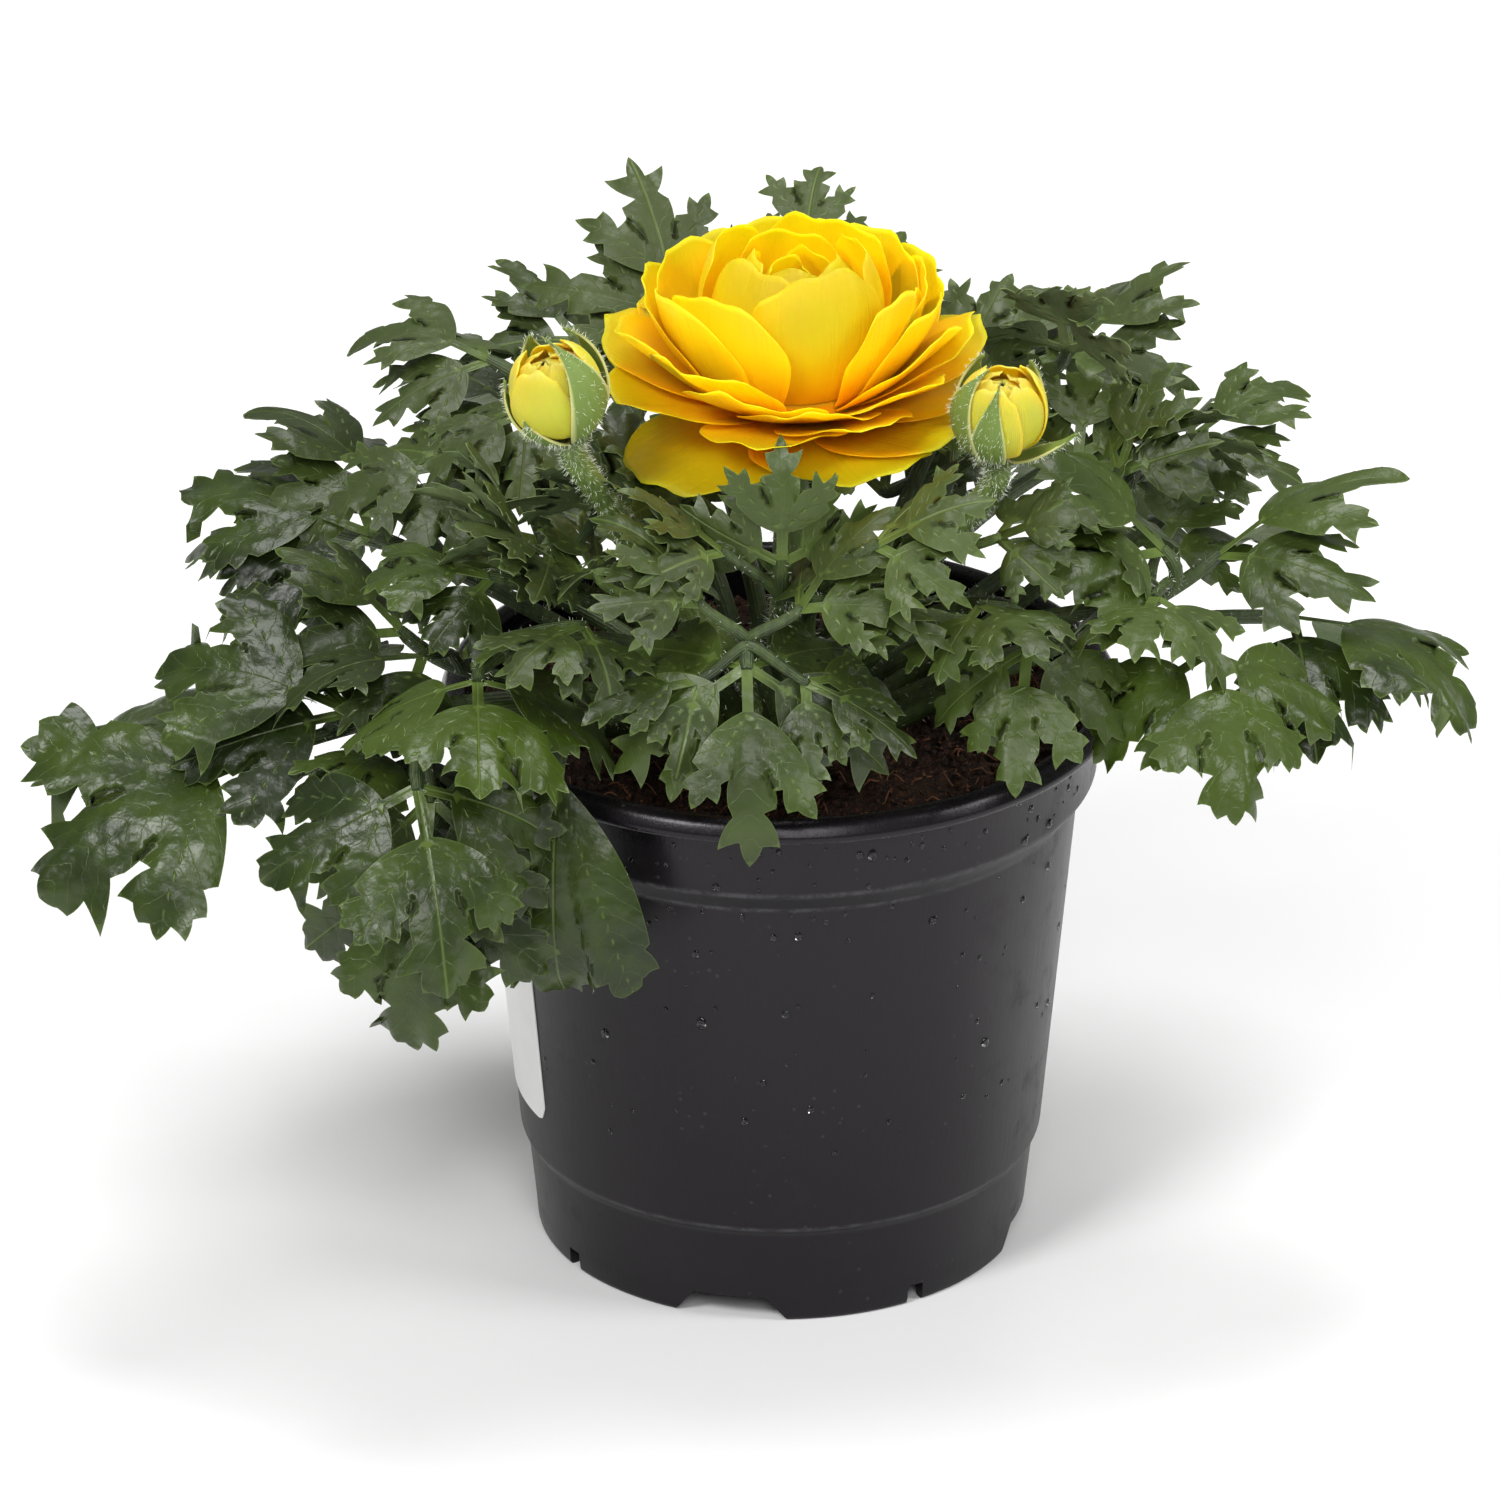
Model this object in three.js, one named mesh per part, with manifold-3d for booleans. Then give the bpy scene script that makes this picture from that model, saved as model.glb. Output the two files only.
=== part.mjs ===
// Potted persian buttercup (Ranunculus asiaticus) in a 12 cm nursery pot.
// Millimetres, +Z up, front of the plant towards -Y.
// The origin is the middle of the pot's underside, on the flat it stands on.
import * as THREE from "three";
import { mergeVertices } from "three/addons/utils/BufferGeometryUtils.js";
import Module from "manifold-3d";

const wasm = await Module();
wasm.setup();

// Driving dimensions of the pot
const POT_LIP_RADIUS = 60;
const POT_HEIGHT = 105;
const POT_WALL = 1.2;
const POT_SIDES = 30;
const COLLAR_RADIUS = 55.6;
const COLLAR_BOTTOM = 89;
const SHOULDER_RADIUS = 52.4;
const SHOULDER_HEIGHT = 85;
const GROOVE_RADIUS = 46.4;
const GROOVE_HEIGHT = 19.4;
const FOOT_RADIUS = 43.4;
const FOOT_HEIGHT = 5;
const FOOT_THICKNESS = 2;
const FLOOR_THICKNESS = 1.4;
const CENTRE_PAD_RADIUS = 8;
const DRAIN_RADIUS = 4.5;
const DRAIN_CIRCLE = 27;
const DRAIN_COUNT = 6;

// Arches round the foot: angle of the first one from the front, top and bottom width, height
const WIDE_ARCH = { angle: -12, topWidth: 13, bottomWidth: 22, height: 4.6 };
const SLIM_ARCH = { angle: 33, topWidth: 3, bottomWidth: 3.4, height: 3.6 };
const ARCH_COUNT = 4;

// Sticker on the pot's left side, on whole facets of its wall
const STICKER_FROM = -60;
const STICKER_TO = -120;
const STICKER_BOTTOM = 28;
const STICKER_TOP = 76;
const STICKER_THICKNESS = 0.6;
const STICKER_CORNER = 3;

// Soil, and the rootstock that sits in the middle of it
const GAP = 0.3;
const SOIL_TOP = 95.5;
const SOIL_DIP = 2.4;
const SOIL_RELIEF = 0.9;
const ROOTSTOCK_RADIUS = 18;
const ROOTSTOCK_TOP = 96.5;
const ROOTSTOCK_DEPTH = 26;
const CLAW_COUNT = 7;
const CLAW_RADIUS = 4.2;

// Circles round the middle of the rootstock on which the stalks stand
const ROOT_CIRCLE = { outer: 15.6, middle: 10.6, inner: 6 };
const STALK_START = ROOTSTOCK_TOP + GAP;

// Leaf plates and stalks, a stalk by half the side of its square section and its count of steps
const STALK_HALF = 1.4;
const STALK_STEPS = 4;
const SIDE_STALK_STEPS = 2;
const LEAFLET_FALL = 0.26;
const LEAFLET_STALK_WIDTH = 2.4;
const STALK_PLATE = 1.6;
const RIB_PLATE = 1.1;
const MARGIN_PLATE = 0.7;

// Flower
const FLOWER_BASE = [2, -5, 160.2];
const FLOWER_STEM_RADIUS = 2.9;
const RECEPTACLE_RADIUS = 5;
const PETAL_PLATE = 0.6;
const GOLDEN_ANGLE = 137.508;

const DEGREE = Math.PI / 180;
const JOIN_TOLERANCE = 0.02;

// A closed mesh of points and triangles as a solid that can be joined and cut
function solidFromMesh(points, triangles) {
  const mesh = new wasm.Mesh({
    numProp: 3,
    vertProperties: new Float32Array(points.flat()),
    triVerts: new Uint32Array(triangles.flat()),
  });
  return new wasm.Manifold(mesh);
}

function solidFromGeometry(geometry) {
  geometry.deleteAttribute("normal");
  geometry.deleteAttribute("uv");
  const merged = mergeVertices(geometry, 1e-4);
  const mesh = new wasm.Mesh({
    numProp: 3,
    vertProperties: new Float32Array(merged.attributes.position.array),
    triVerts: new Uint32Array(merged.index.array),
  });
  return new wasm.Manifold(mesh);
}

function geometryFromSolid(solid) {
  const mesh = solid.getMesh();
  const geometry = new THREE.BufferGeometry();
  geometry.setAttribute("position", new THREE.BufferAttribute(mesh.vertProperties, 3));
  geometry.setIndex(new THREE.BufferAttribute(mesh.triVerts, 1));
  geometry.computeVertexNormals();
  return geometry;
}

// Solids joined into one, with edges shorter than the tolerance closed up
function joined(solids) {
  return solids.reduce((sum, solid) => sum.add(solid)).simplify(JOIN_TOLERANCE);
}

// A body turned about Z from (radius, height) pairs listed anticlockwise, axis first
function turned(profile, sides) {
  const points = profile.map(([radius, height]) => new THREE.Vector2(radius, height));
  const geometry = new THREE.LatheGeometry(points, sides);
  geometry.rotateX(90 * DEGREE);
  return solidFromGeometry(geometry);
}

// A round bar along a smooth curve through the points
function bar(points, radius, sides, steps) {
  const curve = new THREE.CatmullRomCurve3(points);
  return barAlong(curve, radius, sides, steps);
}

function barAlong(curve, radius, sides, steps) {
  const section = new THREE.Shape();
  for (let side = 0; side < sides; side += 1) {
    const angle = (side / sides) * 2 * Math.PI;
    const corner = [radius * Math.cos(angle), radius * Math.sin(angle)];
    if (side === 0) section.moveTo(...corner);
    else section.lineTo(...corner);
  }
  const geometry = new THREE.ExtrudeGeometry(section, { steps, extrudePath: curve });
  return solidFromGeometry(geometry);
}

// Direction in the ground plane for an angle from the front, positive towards +X
function fromFront(angle) {
  return [Math.sin(angle * DEGREE), -Math.cos(angle * DEGREE)];
}

// Pot

function potProfile() {
  const inner = (radius) => radius - POT_WALL;
  return [
    [0, 0],
    [CENTRE_PAD_RADIUS, 0],
    [CENTRE_PAD_RADIUS + 1, FOOT_HEIGHT],
    [FOOT_RADIUS - FOOT_THICKNESS, FOOT_HEIGHT],
    [FOOT_RADIUS - FOOT_THICKNESS, 0],
    [FOOT_RADIUS, 0],
    [FOOT_RADIUS + 0.4, FOOT_HEIGHT],
    [GROOVE_RADIUS - 1.2, GROOVE_HEIGHT - 1.4],
    [GROOVE_RADIUS, GROOVE_HEIGHT],
    [SHOULDER_RADIUS, SHOULDER_HEIGHT],
    [COLLAR_RADIUS, COLLAR_BOTTOM],
    [COLLAR_RADIUS + 0.8, POT_HEIGHT - 4.4],
    [POT_LIP_RADIUS - 0.5, POT_HEIGHT - 4.2],
    [POT_LIP_RADIUS, POT_HEIGHT - 3],
    [POT_LIP_RADIUS - 1.2, POT_HEIGHT - 0.8],
    [POT_LIP_RADIUS - 3, POT_HEIGHT],
    [POT_LIP_RADIUS - 4.8, POT_HEIGHT - 1],
    [inner(COLLAR_RADIUS), COLLAR_BOTTOM],
    [inner(SHOULDER_RADIUS), SHOULDER_HEIGHT],
    [inner(FOOT_RADIUS + 0.4), FOOT_HEIGHT + FLOOR_THICKNESS],
    [0, FOOT_HEIGHT + FLOOR_THICKNESS],
  ];
}

// A block through the foot ring, narrower at the top
function archCutter({ topWidth, bottomWidth, height }, angle) {
  const outline = new THREE.Shape();
  outline.moveTo(-bottomWidth / 2, -1);
  outline.lineTo(bottomWidth / 2, -1);
  outline.lineTo(topWidth / 2, height);
  outline.lineTo(-topWidth / 2, height);
  const reach = 14;
  const geometry = new THREE.ExtrudeGeometry(outline, { depth: reach, bevelEnabled: false });
  geometry.rotateX(90 * DEGREE);
  geometry.translate(0, -(FOOT_RADIUS - 9), 0);
  geometry.rotateZ(angle * DEGREE);
  return solidFromGeometry(geometry);
}

function pot() {
  let body = turned(potProfile(), POT_SIDES);
  for (let index = 0; index < ARCH_COUNT; index += 1) {
    const turn = (index * 360) / ARCH_COUNT;
    body = body.subtract(archCutter(WIDE_ARCH, WIDE_ARCH.angle + turn));
    body = body.subtract(archCutter(SLIM_ARCH, SLIM_ARCH.angle + turn));
  }
  for (let index = 0; index < DRAIN_COUNT; index += 1) {
    const hole = new THREE.CylinderGeometry(DRAIN_RADIUS, DRAIN_RADIUS, 8, 6);
    hole.rotateX(90 * DEGREE);
    const [x, y] = fromFront((index * 360) / DRAIN_COUNT);
    hole.translate(DRAIN_CIRCLE * x, DRAIN_CIRCLE * y, FOOT_HEIGHT);
    body = body.subtract(solidFromGeometry(hole));
  }
  return body;
}

// Radius of the flat facet of a turned wall at an angle from the front
function facetRadius(radius, angle) {
  const step = 360 / POT_SIDES;
  const fromMiddle = (((angle % step) + step) % step) - step / 2;
  return (radius * Math.cos((step / 2) * DEGREE)) / Math.cos(fromMiddle * DEGREE);
}

function sticker() {
  const slope = (SHOULDER_RADIUS - GROOVE_RADIUS) / (SHOULDER_HEIGHT - GROOVE_HEIGHT);
  const step = 360 / POT_SIDES;
  const edge = 1.1;
  const angles = [STICKER_TO, STICKER_TO + edge, STICKER_TO + 3 * edge];
  for (let angle = STICKER_TO + step; angle < STICKER_FROM; angle += step) angles.push(angle);
  angles.push(STICKER_FROM - 3 * edge, STICKER_FROM - edge, STICKER_FROM);
  const insets = angles.map((_, index) => {
    const fromEnd = Math.min(index, angles.length - 1 - index);
    return [STICKER_CORNER, STICKER_CORNER * 0.3, 0][fromEnd] ?? 0;
  });
  const points = [];
  angles.forEach((angle, index) => {
    const [x, y] = fromFront(angle);
    for (const lift of [GAP, GAP + STICKER_THICKNESS]) {
      for (const height of [STICKER_BOTTOM + insets[index], STICKER_TOP - insets[index]]) {
        const wall = GROOVE_RADIUS + slope * (height - GROOVE_HEIGHT);
        const radius = facetRadius(wall + lift, angle);
        points.push([radius * x, radius * y, height]);
      }
    }
  });
  const triangles = [];
  const quad = (a, b, c, d) => triangles.push([a, b, c], [a, c, d]);
  for (let column = 0; column < angles.length - 1; column += 1) {
    const [backLow, backHigh, faceLow, faceHigh] = [0, 1, 2, 3].map((k) => 4 * column + k);
    quad(faceLow, faceLow + 4, faceHigh + 4, faceHigh);
    quad(backLow, backHigh, backHigh + 4, backLow + 4);
    quad(backLow, backLow + 4, faceLow + 4, faceLow);
    quad(backHigh, faceHigh, faceHigh + 4, backHigh + 4);
  }
  const last = 4 * (angles.length - 1);
  quad(0, 2, 3, 1);
  quad(last, last + 1, last + 3, last + 2);
  return solidFromMesh(points, triangles);
}

// Soil and rootstock

function soilLift(x, y) {
  const coarse = Math.sin(0.31 * x + 1.3) * Math.cos(0.27 * y - 0.4);
  const fine = Math.sin(0.83 * x - 0.7 * y) * Math.cos(0.61 * y + 0.9 * x + 2);
  return SOIL_RELIEF * (0.6 * coarse + 0.55 * fine);
}

function soil() {
  const wall = POT_WALL + GAP;
  const floor = FOOT_HEIGHT + FLOOR_THICKNESS + GAP;
  const rim = COLLAR_RADIUS - wall;
  const pit = ROOTSTOCK_RADIUS + GAP;
  const profile = [
    [0, floor],
    [FOOT_RADIUS - wall, floor],
    [SHOULDER_RADIUS - wall - 0.2, SHOULDER_HEIGHT],
    [rim - 0.2, COLLAR_BOTTOM + 0.2],
    [rim, SOIL_TOP],
  ];
  const rings = 4;
  for (let ring = 1; ring <= rings; ring += 1) {
    const share = ring / rings;
    profile.push([rim + (pit - rim) * share, SOIL_TOP - SOIL_DIP * share]);
  }
  profile.push([pit, ROOTSTOCK_TOP - ROOTSTOCK_DEPTH - GAP]);
  profile.push([0, ROOTSTOCK_TOP - ROOTSTOCK_DEPTH - GAP]);
  const points = profile.map(([radius, height]) => new THREE.Vector2(radius, height));
  const geometry = new THREE.LatheGeometry(points, 24);
  geometry.rotateX(90 * DEGREE);
  const position = geometry.attributes.position;
  for (let index = 0; index < position.count; index += 1) {
    if (position.getZ(index) < SOIL_TOP - SOIL_DIP - 0.1) continue;
    const lift = soilLift(position.getX(index), position.getY(index));
    position.setZ(index, position.getZ(index) + lift);
  }
  return solidFromGeometry(geometry);
}

// The rootstock: a flat crown with a ring of tapering claws below it
function rootstock() {
  const crown = turned(
    [
      [0, ROOTSTOCK_TOP - 12],
      [9, ROOTSTOCK_TOP - 10],
      [ROOTSTOCK_RADIUS - 1.5, ROOTSTOCK_TOP - 4],
      [ROOTSTOCK_RADIUS, ROOTSTOCK_TOP - 1.5],
      [ROOTSTOCK_RADIUS - 0.5, ROOTSTOCK_TOP],
      [0, ROOTSTOCK_TOP],
    ],
    16,
  );
  const claws = [];
  for (let index = 0; index < CLAW_COUNT; index += 1) {
    const [x, y] = fromFront((index * 360) / CLAW_COUNT);
    const claw = new THREE.ConeGeometry(CLAW_RADIUS, ROOTSTOCK_DEPTH - 6, 7);
    claw.rotateX(-90 * DEGREE);
    claw.translate(10 * x, 10 * y, ROOTSTOCK_TOP - 6 - (ROOTSTOCK_DEPTH - 6) / 2);
    claws.push(solidFromGeometry(claw));
  }
  return joined([crown, ...claws]);
}

// Thin plates

// A plate from placed points, each with its normal and thickness, and faces seen from above. The
// rim lists the outline anticlockwise, and an open rim leaves out the wall from its end to its
// start. Both faces are split into triangles alike: point n of one is point count + n of the other.
function plateMesh(placed, faces, rim, isOpen) {
  const count = placed.length;
  const side = (sign) =>
    placed.map(({ point, normal, thickness }) =>
      point.clone().addScaledVector(normal, (sign * thickness) / 2).toArray(),
    );
  const points = [...side(1), ...side(-1)];
  const triangles = [];
  for (const [a, b, c] of faces) {
    triangles.push([a, b, c], [count + a, count + c, count + b]);
  }
  rim.forEach((here, index) => {
    if (isOpen && index === rim.length - 1) return;
    const next = rim[(index + 1) % rim.length];
    triangles.push([here, count + here, count + next], [here, count + next, next]);
  });
  return { points, triangles, count };
}

// A plate on a grid: pointAt gives place, normal and thickness for shares (across, along)
function gridPlate(columns, rows, pointAt) {
  const placed = [];
  for (let row = 0; row <= rows; row += 1) {
    for (let column = 0; column <= columns; column += 1) {
      placed.push(pointAt((2 * column) / columns - 1, row / rows));
    }
  }
  const at = (column, row) => row * (columns + 1) + column;
  const faces = [];
  for (let row = 0; row < rows; row += 1) {
    for (let column = 0; column < columns; column += 1) {
      const [a, b] = [at(column, row), at(column + 1, row)];
      const [c, d] = [at(column + 1, row + 1), at(column, row + 1)];
      if (2 * column < columns) faces.push([a, b, c], [a, c, d]);
      else faces.push([a, b, d], [b, c, d]);
    }
  }
  const rim = [];
  for (let column = 0; column < columns; column += 1) rim.push(at(column, 0));
  for (let row = 0; row < rows; row += 1) rim.push(at(columns, row));
  for (let column = columns; column > 0; column -= 1) rim.push(at(column, rows));
  for (let row = rows; row > 0; row -= 1) rim.push(at(0, row));
  const { points, triangles } = plateMesh(placed, faces, rim, false);
  return solidFromMesh(points, triangles);
}

// Leaves

// Leaflet outlines. lobes: direction and length of each lobe's rib. margin: a half lobe's edge
// after the cut between lobes, as shares of the lobe's length along and across its rib.
const LEAF_STYLES = {
  broad: {
    lobes: [[-44, 0.82], [0, 1], [44, 0.82]],
    sinus: 0.54,
    margin: [[0.66, 0.24], [0.9, 0.17]],
    ribs: [],
    cup: -0.04,
    fold: 0.1,
    curl: 0.1,
    ruffle: 0.025,
  },
  cut: {
    lobes: [[-41, 0.83], [0, 1], [41, 0.83]],
    sinus: 0.39,
    margin: [[0.7, 0.21]],
    ribs: [],
    cup: 0.03,
    fold: 0.12,
    curl: 0.12,
    ruffle: 0.025,
  },
  slim: {
    lobes: [[-32, 0.78], [0, 1], [32, 0.78]],
    sinus: 0.4,
    margin: [[0.7, 0.15]],
    ribs: [],
    cup: 0.03,
    fold: 0.12,
    curl: 0.12,
    ruffle: 0.02,
  },
  whole: {
    lobes: [[-26, 0.8], [0, 1], [26, 0.8]],
    sinus: 0.74,
    margin: [[0.84, 0.15], [0.94, 0.12]],
    ribs: [0.5],
    cup: -0.06,
    fold: 0.03,
    curl: 0.05,
    ruffle: 0.04,
  },
};

// Leaflets round the end of the stalk: direction, share of the leaf's size, share that is stalk.
// Leaflets further round lie lower, so that where they overlap one lies over the other.
const LEAFLETS = {
  three: [[-1, 0.86, 0.2], [0, 1, 0.26], [1, 0.86, 0.2]],
  five: [[-2, 0.8, 0.2], [-1, 0.9, 0.2], [0, 1, 0.24], [1, 0.9, 0.2], [2, 0.8, 0.2]],
  turned: [[-1.9, 0.66, 0.2], [-0.85, 0.95, 0.2], [0.05, 1, 0.24]],
  one: [[0, 1, 0.08]],
};
const LEAFLET_KINDS = { leaf_01: "turned", leaf_04: "one", leaf_24: "five" };

// Every leaf: name, style, root circle and angle on it, hub (the end of its stalk), heading of the
// blade seen from above, its pitch and roll, its size, the angle between its leaflets, and its
// droop to the tips. Angles on circles and headings run anticlockwise from +X.
const LEAVES = [
  ["leaf_01", "broad", "outer", 203, [-87, -34, 107], 205, -8, -26, 47, 44, 22],
  ["leaf_02", "broad", "outer", 236, [-62, -66, 115], 284, -42, 4, 33, 74, 18],
  ["leaf_03", "broad", "outer", 219, [-62, -60, 97], 258, -62, 0, 30, 54, 12],
  ["leaf_04", "whole", "outer", 254, [-38, -49, 112], 268, -56, 0, 47, 0, 42],
  ["leaf_05", "broad", "middle", 234, [-52, -49, 127], 272, -2, 0, 30, 90, 18],
  ["leaf_06", "cut", "outer", 186, [-66, -14, 120], 160, 44, 0, 26, 55, 15],
  ["leaf_07", "broad", "middle", 206, [-50, -24, 135], 186, 16, -6, 23, 58, 20],
  ["leaf_08", "cut", "inner", 168, [-44, -19, 138], 200, 70, 0, 24, 52, 10],
  ["leaf_09", "broad", "outer", 168, [-72, 14, 126], 166, 18, -18, 35, 60, 20],
  ["leaf_10", "cut", "middle", 148, [-51, 26, 154], 160, 20, -6, 27, 52, 25],
  ["leaf_11", "cut", "middle", 174, [-57, 4, 144], 196, -2, -26, 24, 50, 25],
  ["leaf_12", "cut", "middle", 123, [-36, 44, 150], 130, 30, 0, 22, 56, 15],
  ["leaf_13", "cut", "middle", 99, [-18, 38, 157], 116, 60, 0, 28, 60, 10],
  ["leaf_14", "cut", "middle", 76, [4, 44, 166], 80, 50, 0, 19, 72, 10],
  ["leaf_15", "cut", "middle", 24, [32, 20, 155], 62, 40, 0, 21, 66, 10],
  ["leaf_16", "cut", "middle", 46, [51, 36, 151], 32, 40, 0, 28, 62, 25],
  ["leaf_17", "cut", "outer", 22, [59, 7, 141], 46, 66, 0, 22, 52, 20],
  ["leaf_18", "cut", "outer", 40, [72, 30, 137], 25, 30, 0, 24, 60, 15],
  ["leaf_19", "broad", "middle", 336, [66, -24, 140], 163, 44, 0, 28, 60, 15],
  ["leaf_20", "cut", "outer", 346, [76, -4, 130], 18, 38, -12, 34, 54, 30],
  ["leaf_21", "broad", "outer", 4, [89, -10, 121], 335, 8, -8, 37, 60, 34],
  ["leaf_22", "broad", "outer", 324, [73, -40, 128], 282, -22, 0, 29, 68, 25],
  ["leaf_23", "cut", "middle", 314, [42, -45, 131], 262, -42, 0, 24, 58, 15],
  ["leaf_24", "slim", "outer", 274, [-6, -56, 133], 272, -42, 0, 32, 60, 20],
  ["leaf_25", "cut", "middle", 262, [0, -42, 146], 92, 98, 0, 22, 68, 12],
  ["leaf_26", "cut", "middle", 290, [16, -48, 152], 356, 34, 20, 22, 54, 15],
  ["leaf_27", "cut", "outer", 122, [-42, 66, 124], 124, 0, 0, 40, 62, 35],
  ["leaf_28", "cut", "outer", 86, [6, 76, 126], 86, 2, 0, 38, 62, 35],
  ["leaf_29", "cut", "outer", 60, [54, 60, 121], 46, 0, 0, 40, 62, 35],
  ["leaf_30", "cut", "outer", 148, [-80, 46, 112], 150, 0, 0, 32, 60, 35],
  ["leaf_34", "cut", "inner", 40, [30, 8, 144], 90, 66, 0, 21, 56, 12],
  ["leaf_38", "cut", "outer", 100, [-8, 60, 146], 96, 20, 0, 30, 62, 25],
];

// Lower blades on the stalks of some leaves: the leaf that carries one, the share of its stalk
// below the joint, and the blade's own columns from the style on
const SIDE_LEAVES = [
  ["leaf_10", 0.66, "cut", [-44, 8, 152], 214, -4, -8, 22, 52, 20],
  ["leaf_06", 0.75, "cut", [-62, -26, 121], 206, 10, 0, 28, 56, 20],
  ["leaf_20", 0.75, "cut", [66, 6, 126], 60, 30, 0, 22, 58, 20],
  ["leaf_01", 0.7, "cut", [-66, -36, 109], 240, 10, 0, 26, 58, 20],
  ["leaf_16", 0.6, "cut", [44, 38, 148], 90, 30, 0, 25, 56, 25],
  ["leaf_17", 0.8, "cut", [52, 12, 142], 80, 60, 0, 19, 56, 20],
  ["leaf_19", 0.8, "cut", [64, -34, 136], 260, 10, 0, 22, 56, 20],
  ["leaf_09", 0.75, "cut", [-70, 24, 130], 150, 40, 0, 28, 56, 20],
  ["leaf_12", 0.7, "cut", [-22, 40, 144], 110, 40, 0, 24, 56, 20],
  ["leaf_14", 0.75, "cut", [12, 40, 156], 60, 40, 0, 22, 56, 20],
  ["leaf_29", 0.6, "cut", [32, 52, 136], 70, 30, 0, 30, 60, 20],
  ["leaf_27", 0.6, "cut", [-46, 44, 136], 140, 20, 0, 26, 60, 20],
];

// Small leaves that grow from a flower's stem: the same columns from the style on, with the joint's
// place on the stem
const STEM_LEAVES = {
  flower: [["cut", "stem", [1, -3, 122], [-16, 3, 139], 170, 40, 0, 17, 60, 15]],
  left: [
    ["cut", "stem", [-16, -14, 122], [-32, -21, 134], 146, 58, 0, 15, 54, 15],
    ["cut", "stem", [-19, -16.5, 130], [-26, -34, 142], 262, 40, 0, 17, 56, 15],
  ],
  right: [
    ["cut", "stem", [22, -13, 128], [37, -38, 149], 350, 28, 28, 18, 58, 15],
    ["cut", "stem", [16, -10, 120], [20, -32, 132], 290, 40, 0, 17, 54, 15],
  ],
};

// How stalks leave the rootstock: shares of their span that they first go up and out
const STALK_LEAN = {
  outer: { up: 0.22, out: 0.34 },
  middle: { up: 0.42, out: 0.12 },
  inner: { up: 0.5, out: 0.02 },
  stem: { up: 0.3, out: 0.1 },
};

// Splits the strip between a lobe's rib and one of its edges, both ending at the lobe's tip
function lobeFaces(points, ribLine, edge, isLeft) {
  const faces = [];
  const push = (a, b, c) => faces.push(isLeft ? [a, b, c] : [a, c, b]);
  const span = (a, b) =>
    Math.hypot(points[a].along - points[b].along, points[a].across - points[b].across);
  const [ribEnd, edgeEnd] = [ribLine.length - 2, edge.length - 2];
  let [rib, rim] = [0, 0];
  while (rib < ribEnd || rim < edgeEnd) {
    const viaRib = rib < ribEnd ? span(ribLine[rib + 1], edge[rim]) : Infinity;
    const viaRim = rim < edgeEnd ? span(ribLine[rib], edge[rim + 1]) : Infinity;
    if (viaRib < viaRim) {
      push(ribLine[rib], ribLine[rib + 1], edge[rim]);
      rib += 1;
    } else {
      push(ribLine[rib], edge[rim + 1], edge[rim]);
      rim += 1;
    }
  }
  push(ribLine[rib], ribLine[rib + 1], edge[rim]);
  return faces;
}

// A leaf laid flat, its leaflets from right to left: points with their place on the blade and on
// their leaflet, faces and rim. Neighbouring leaflets share the corner between their stalks, and
// the rim starts and ends at the blade's rear edge, where its own stalk comes in.
function leafPlan(style, leaflets, spread) {
  const points = [];
  const faces = [];
  const half = LEAFLET_STALK_WIDTH / 2;
  const add = (leaflet, along, across, thickness) => {
    const turn = leaflet.side * spread * DEGREE;
    const forward = along * Math.cos(turn) - across * Math.sin(turn);
    const sideways = along * Math.sin(turn) + across * Math.cos(turn);
    return points.push({ leaflet, along, across, forward, sideways, thickness }) - 1;
  };
  const middle = { ...leaflets[0], side: 0 };
  const between = half / Math.tan((spread * DEGREE) / 2 || 1);
  const hub = add(middle, 0, 0, STALK_PLATE);
  const rearRight = add(middle, -half, -half, STALK_PLATE);
  const rearLeft = add(middle, -half, half, STALK_PLATE);
  faces.push([hub, rearLeft, rearRight]);
  const rim = [];
  let start = rearRight;
  leaflets.forEach((leaflet, number) => {
    const isLast = number === leaflets.length - 1;
    const end = isLast ? rearLeft : add(leaflet, between, half, STALK_PLATE);
    const base = add(leaflet, leaflet.stem, 0, RIB_PLATE);
    const baseRight = add(leaflet, leaflet.stem, -half, RIB_PLATE);
    const baseLeft = add(leaflet, leaflet.stem, half, RIB_PLATE);
    faces.push([hub, start, baseRight], [hub, baseRight, base]);
    faces.push([hub, base, baseLeft], [hub, baseLeft, end]);
    rim.push(start, baseRight);
    addLobes({ style, leaflet, points, faces, rim, add, base, baseRight, baseLeft });
    start = end;
  });
  rim.push(rearLeft);
  return { points, faces, rim, rearRight, rearLeft };
}

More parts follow.
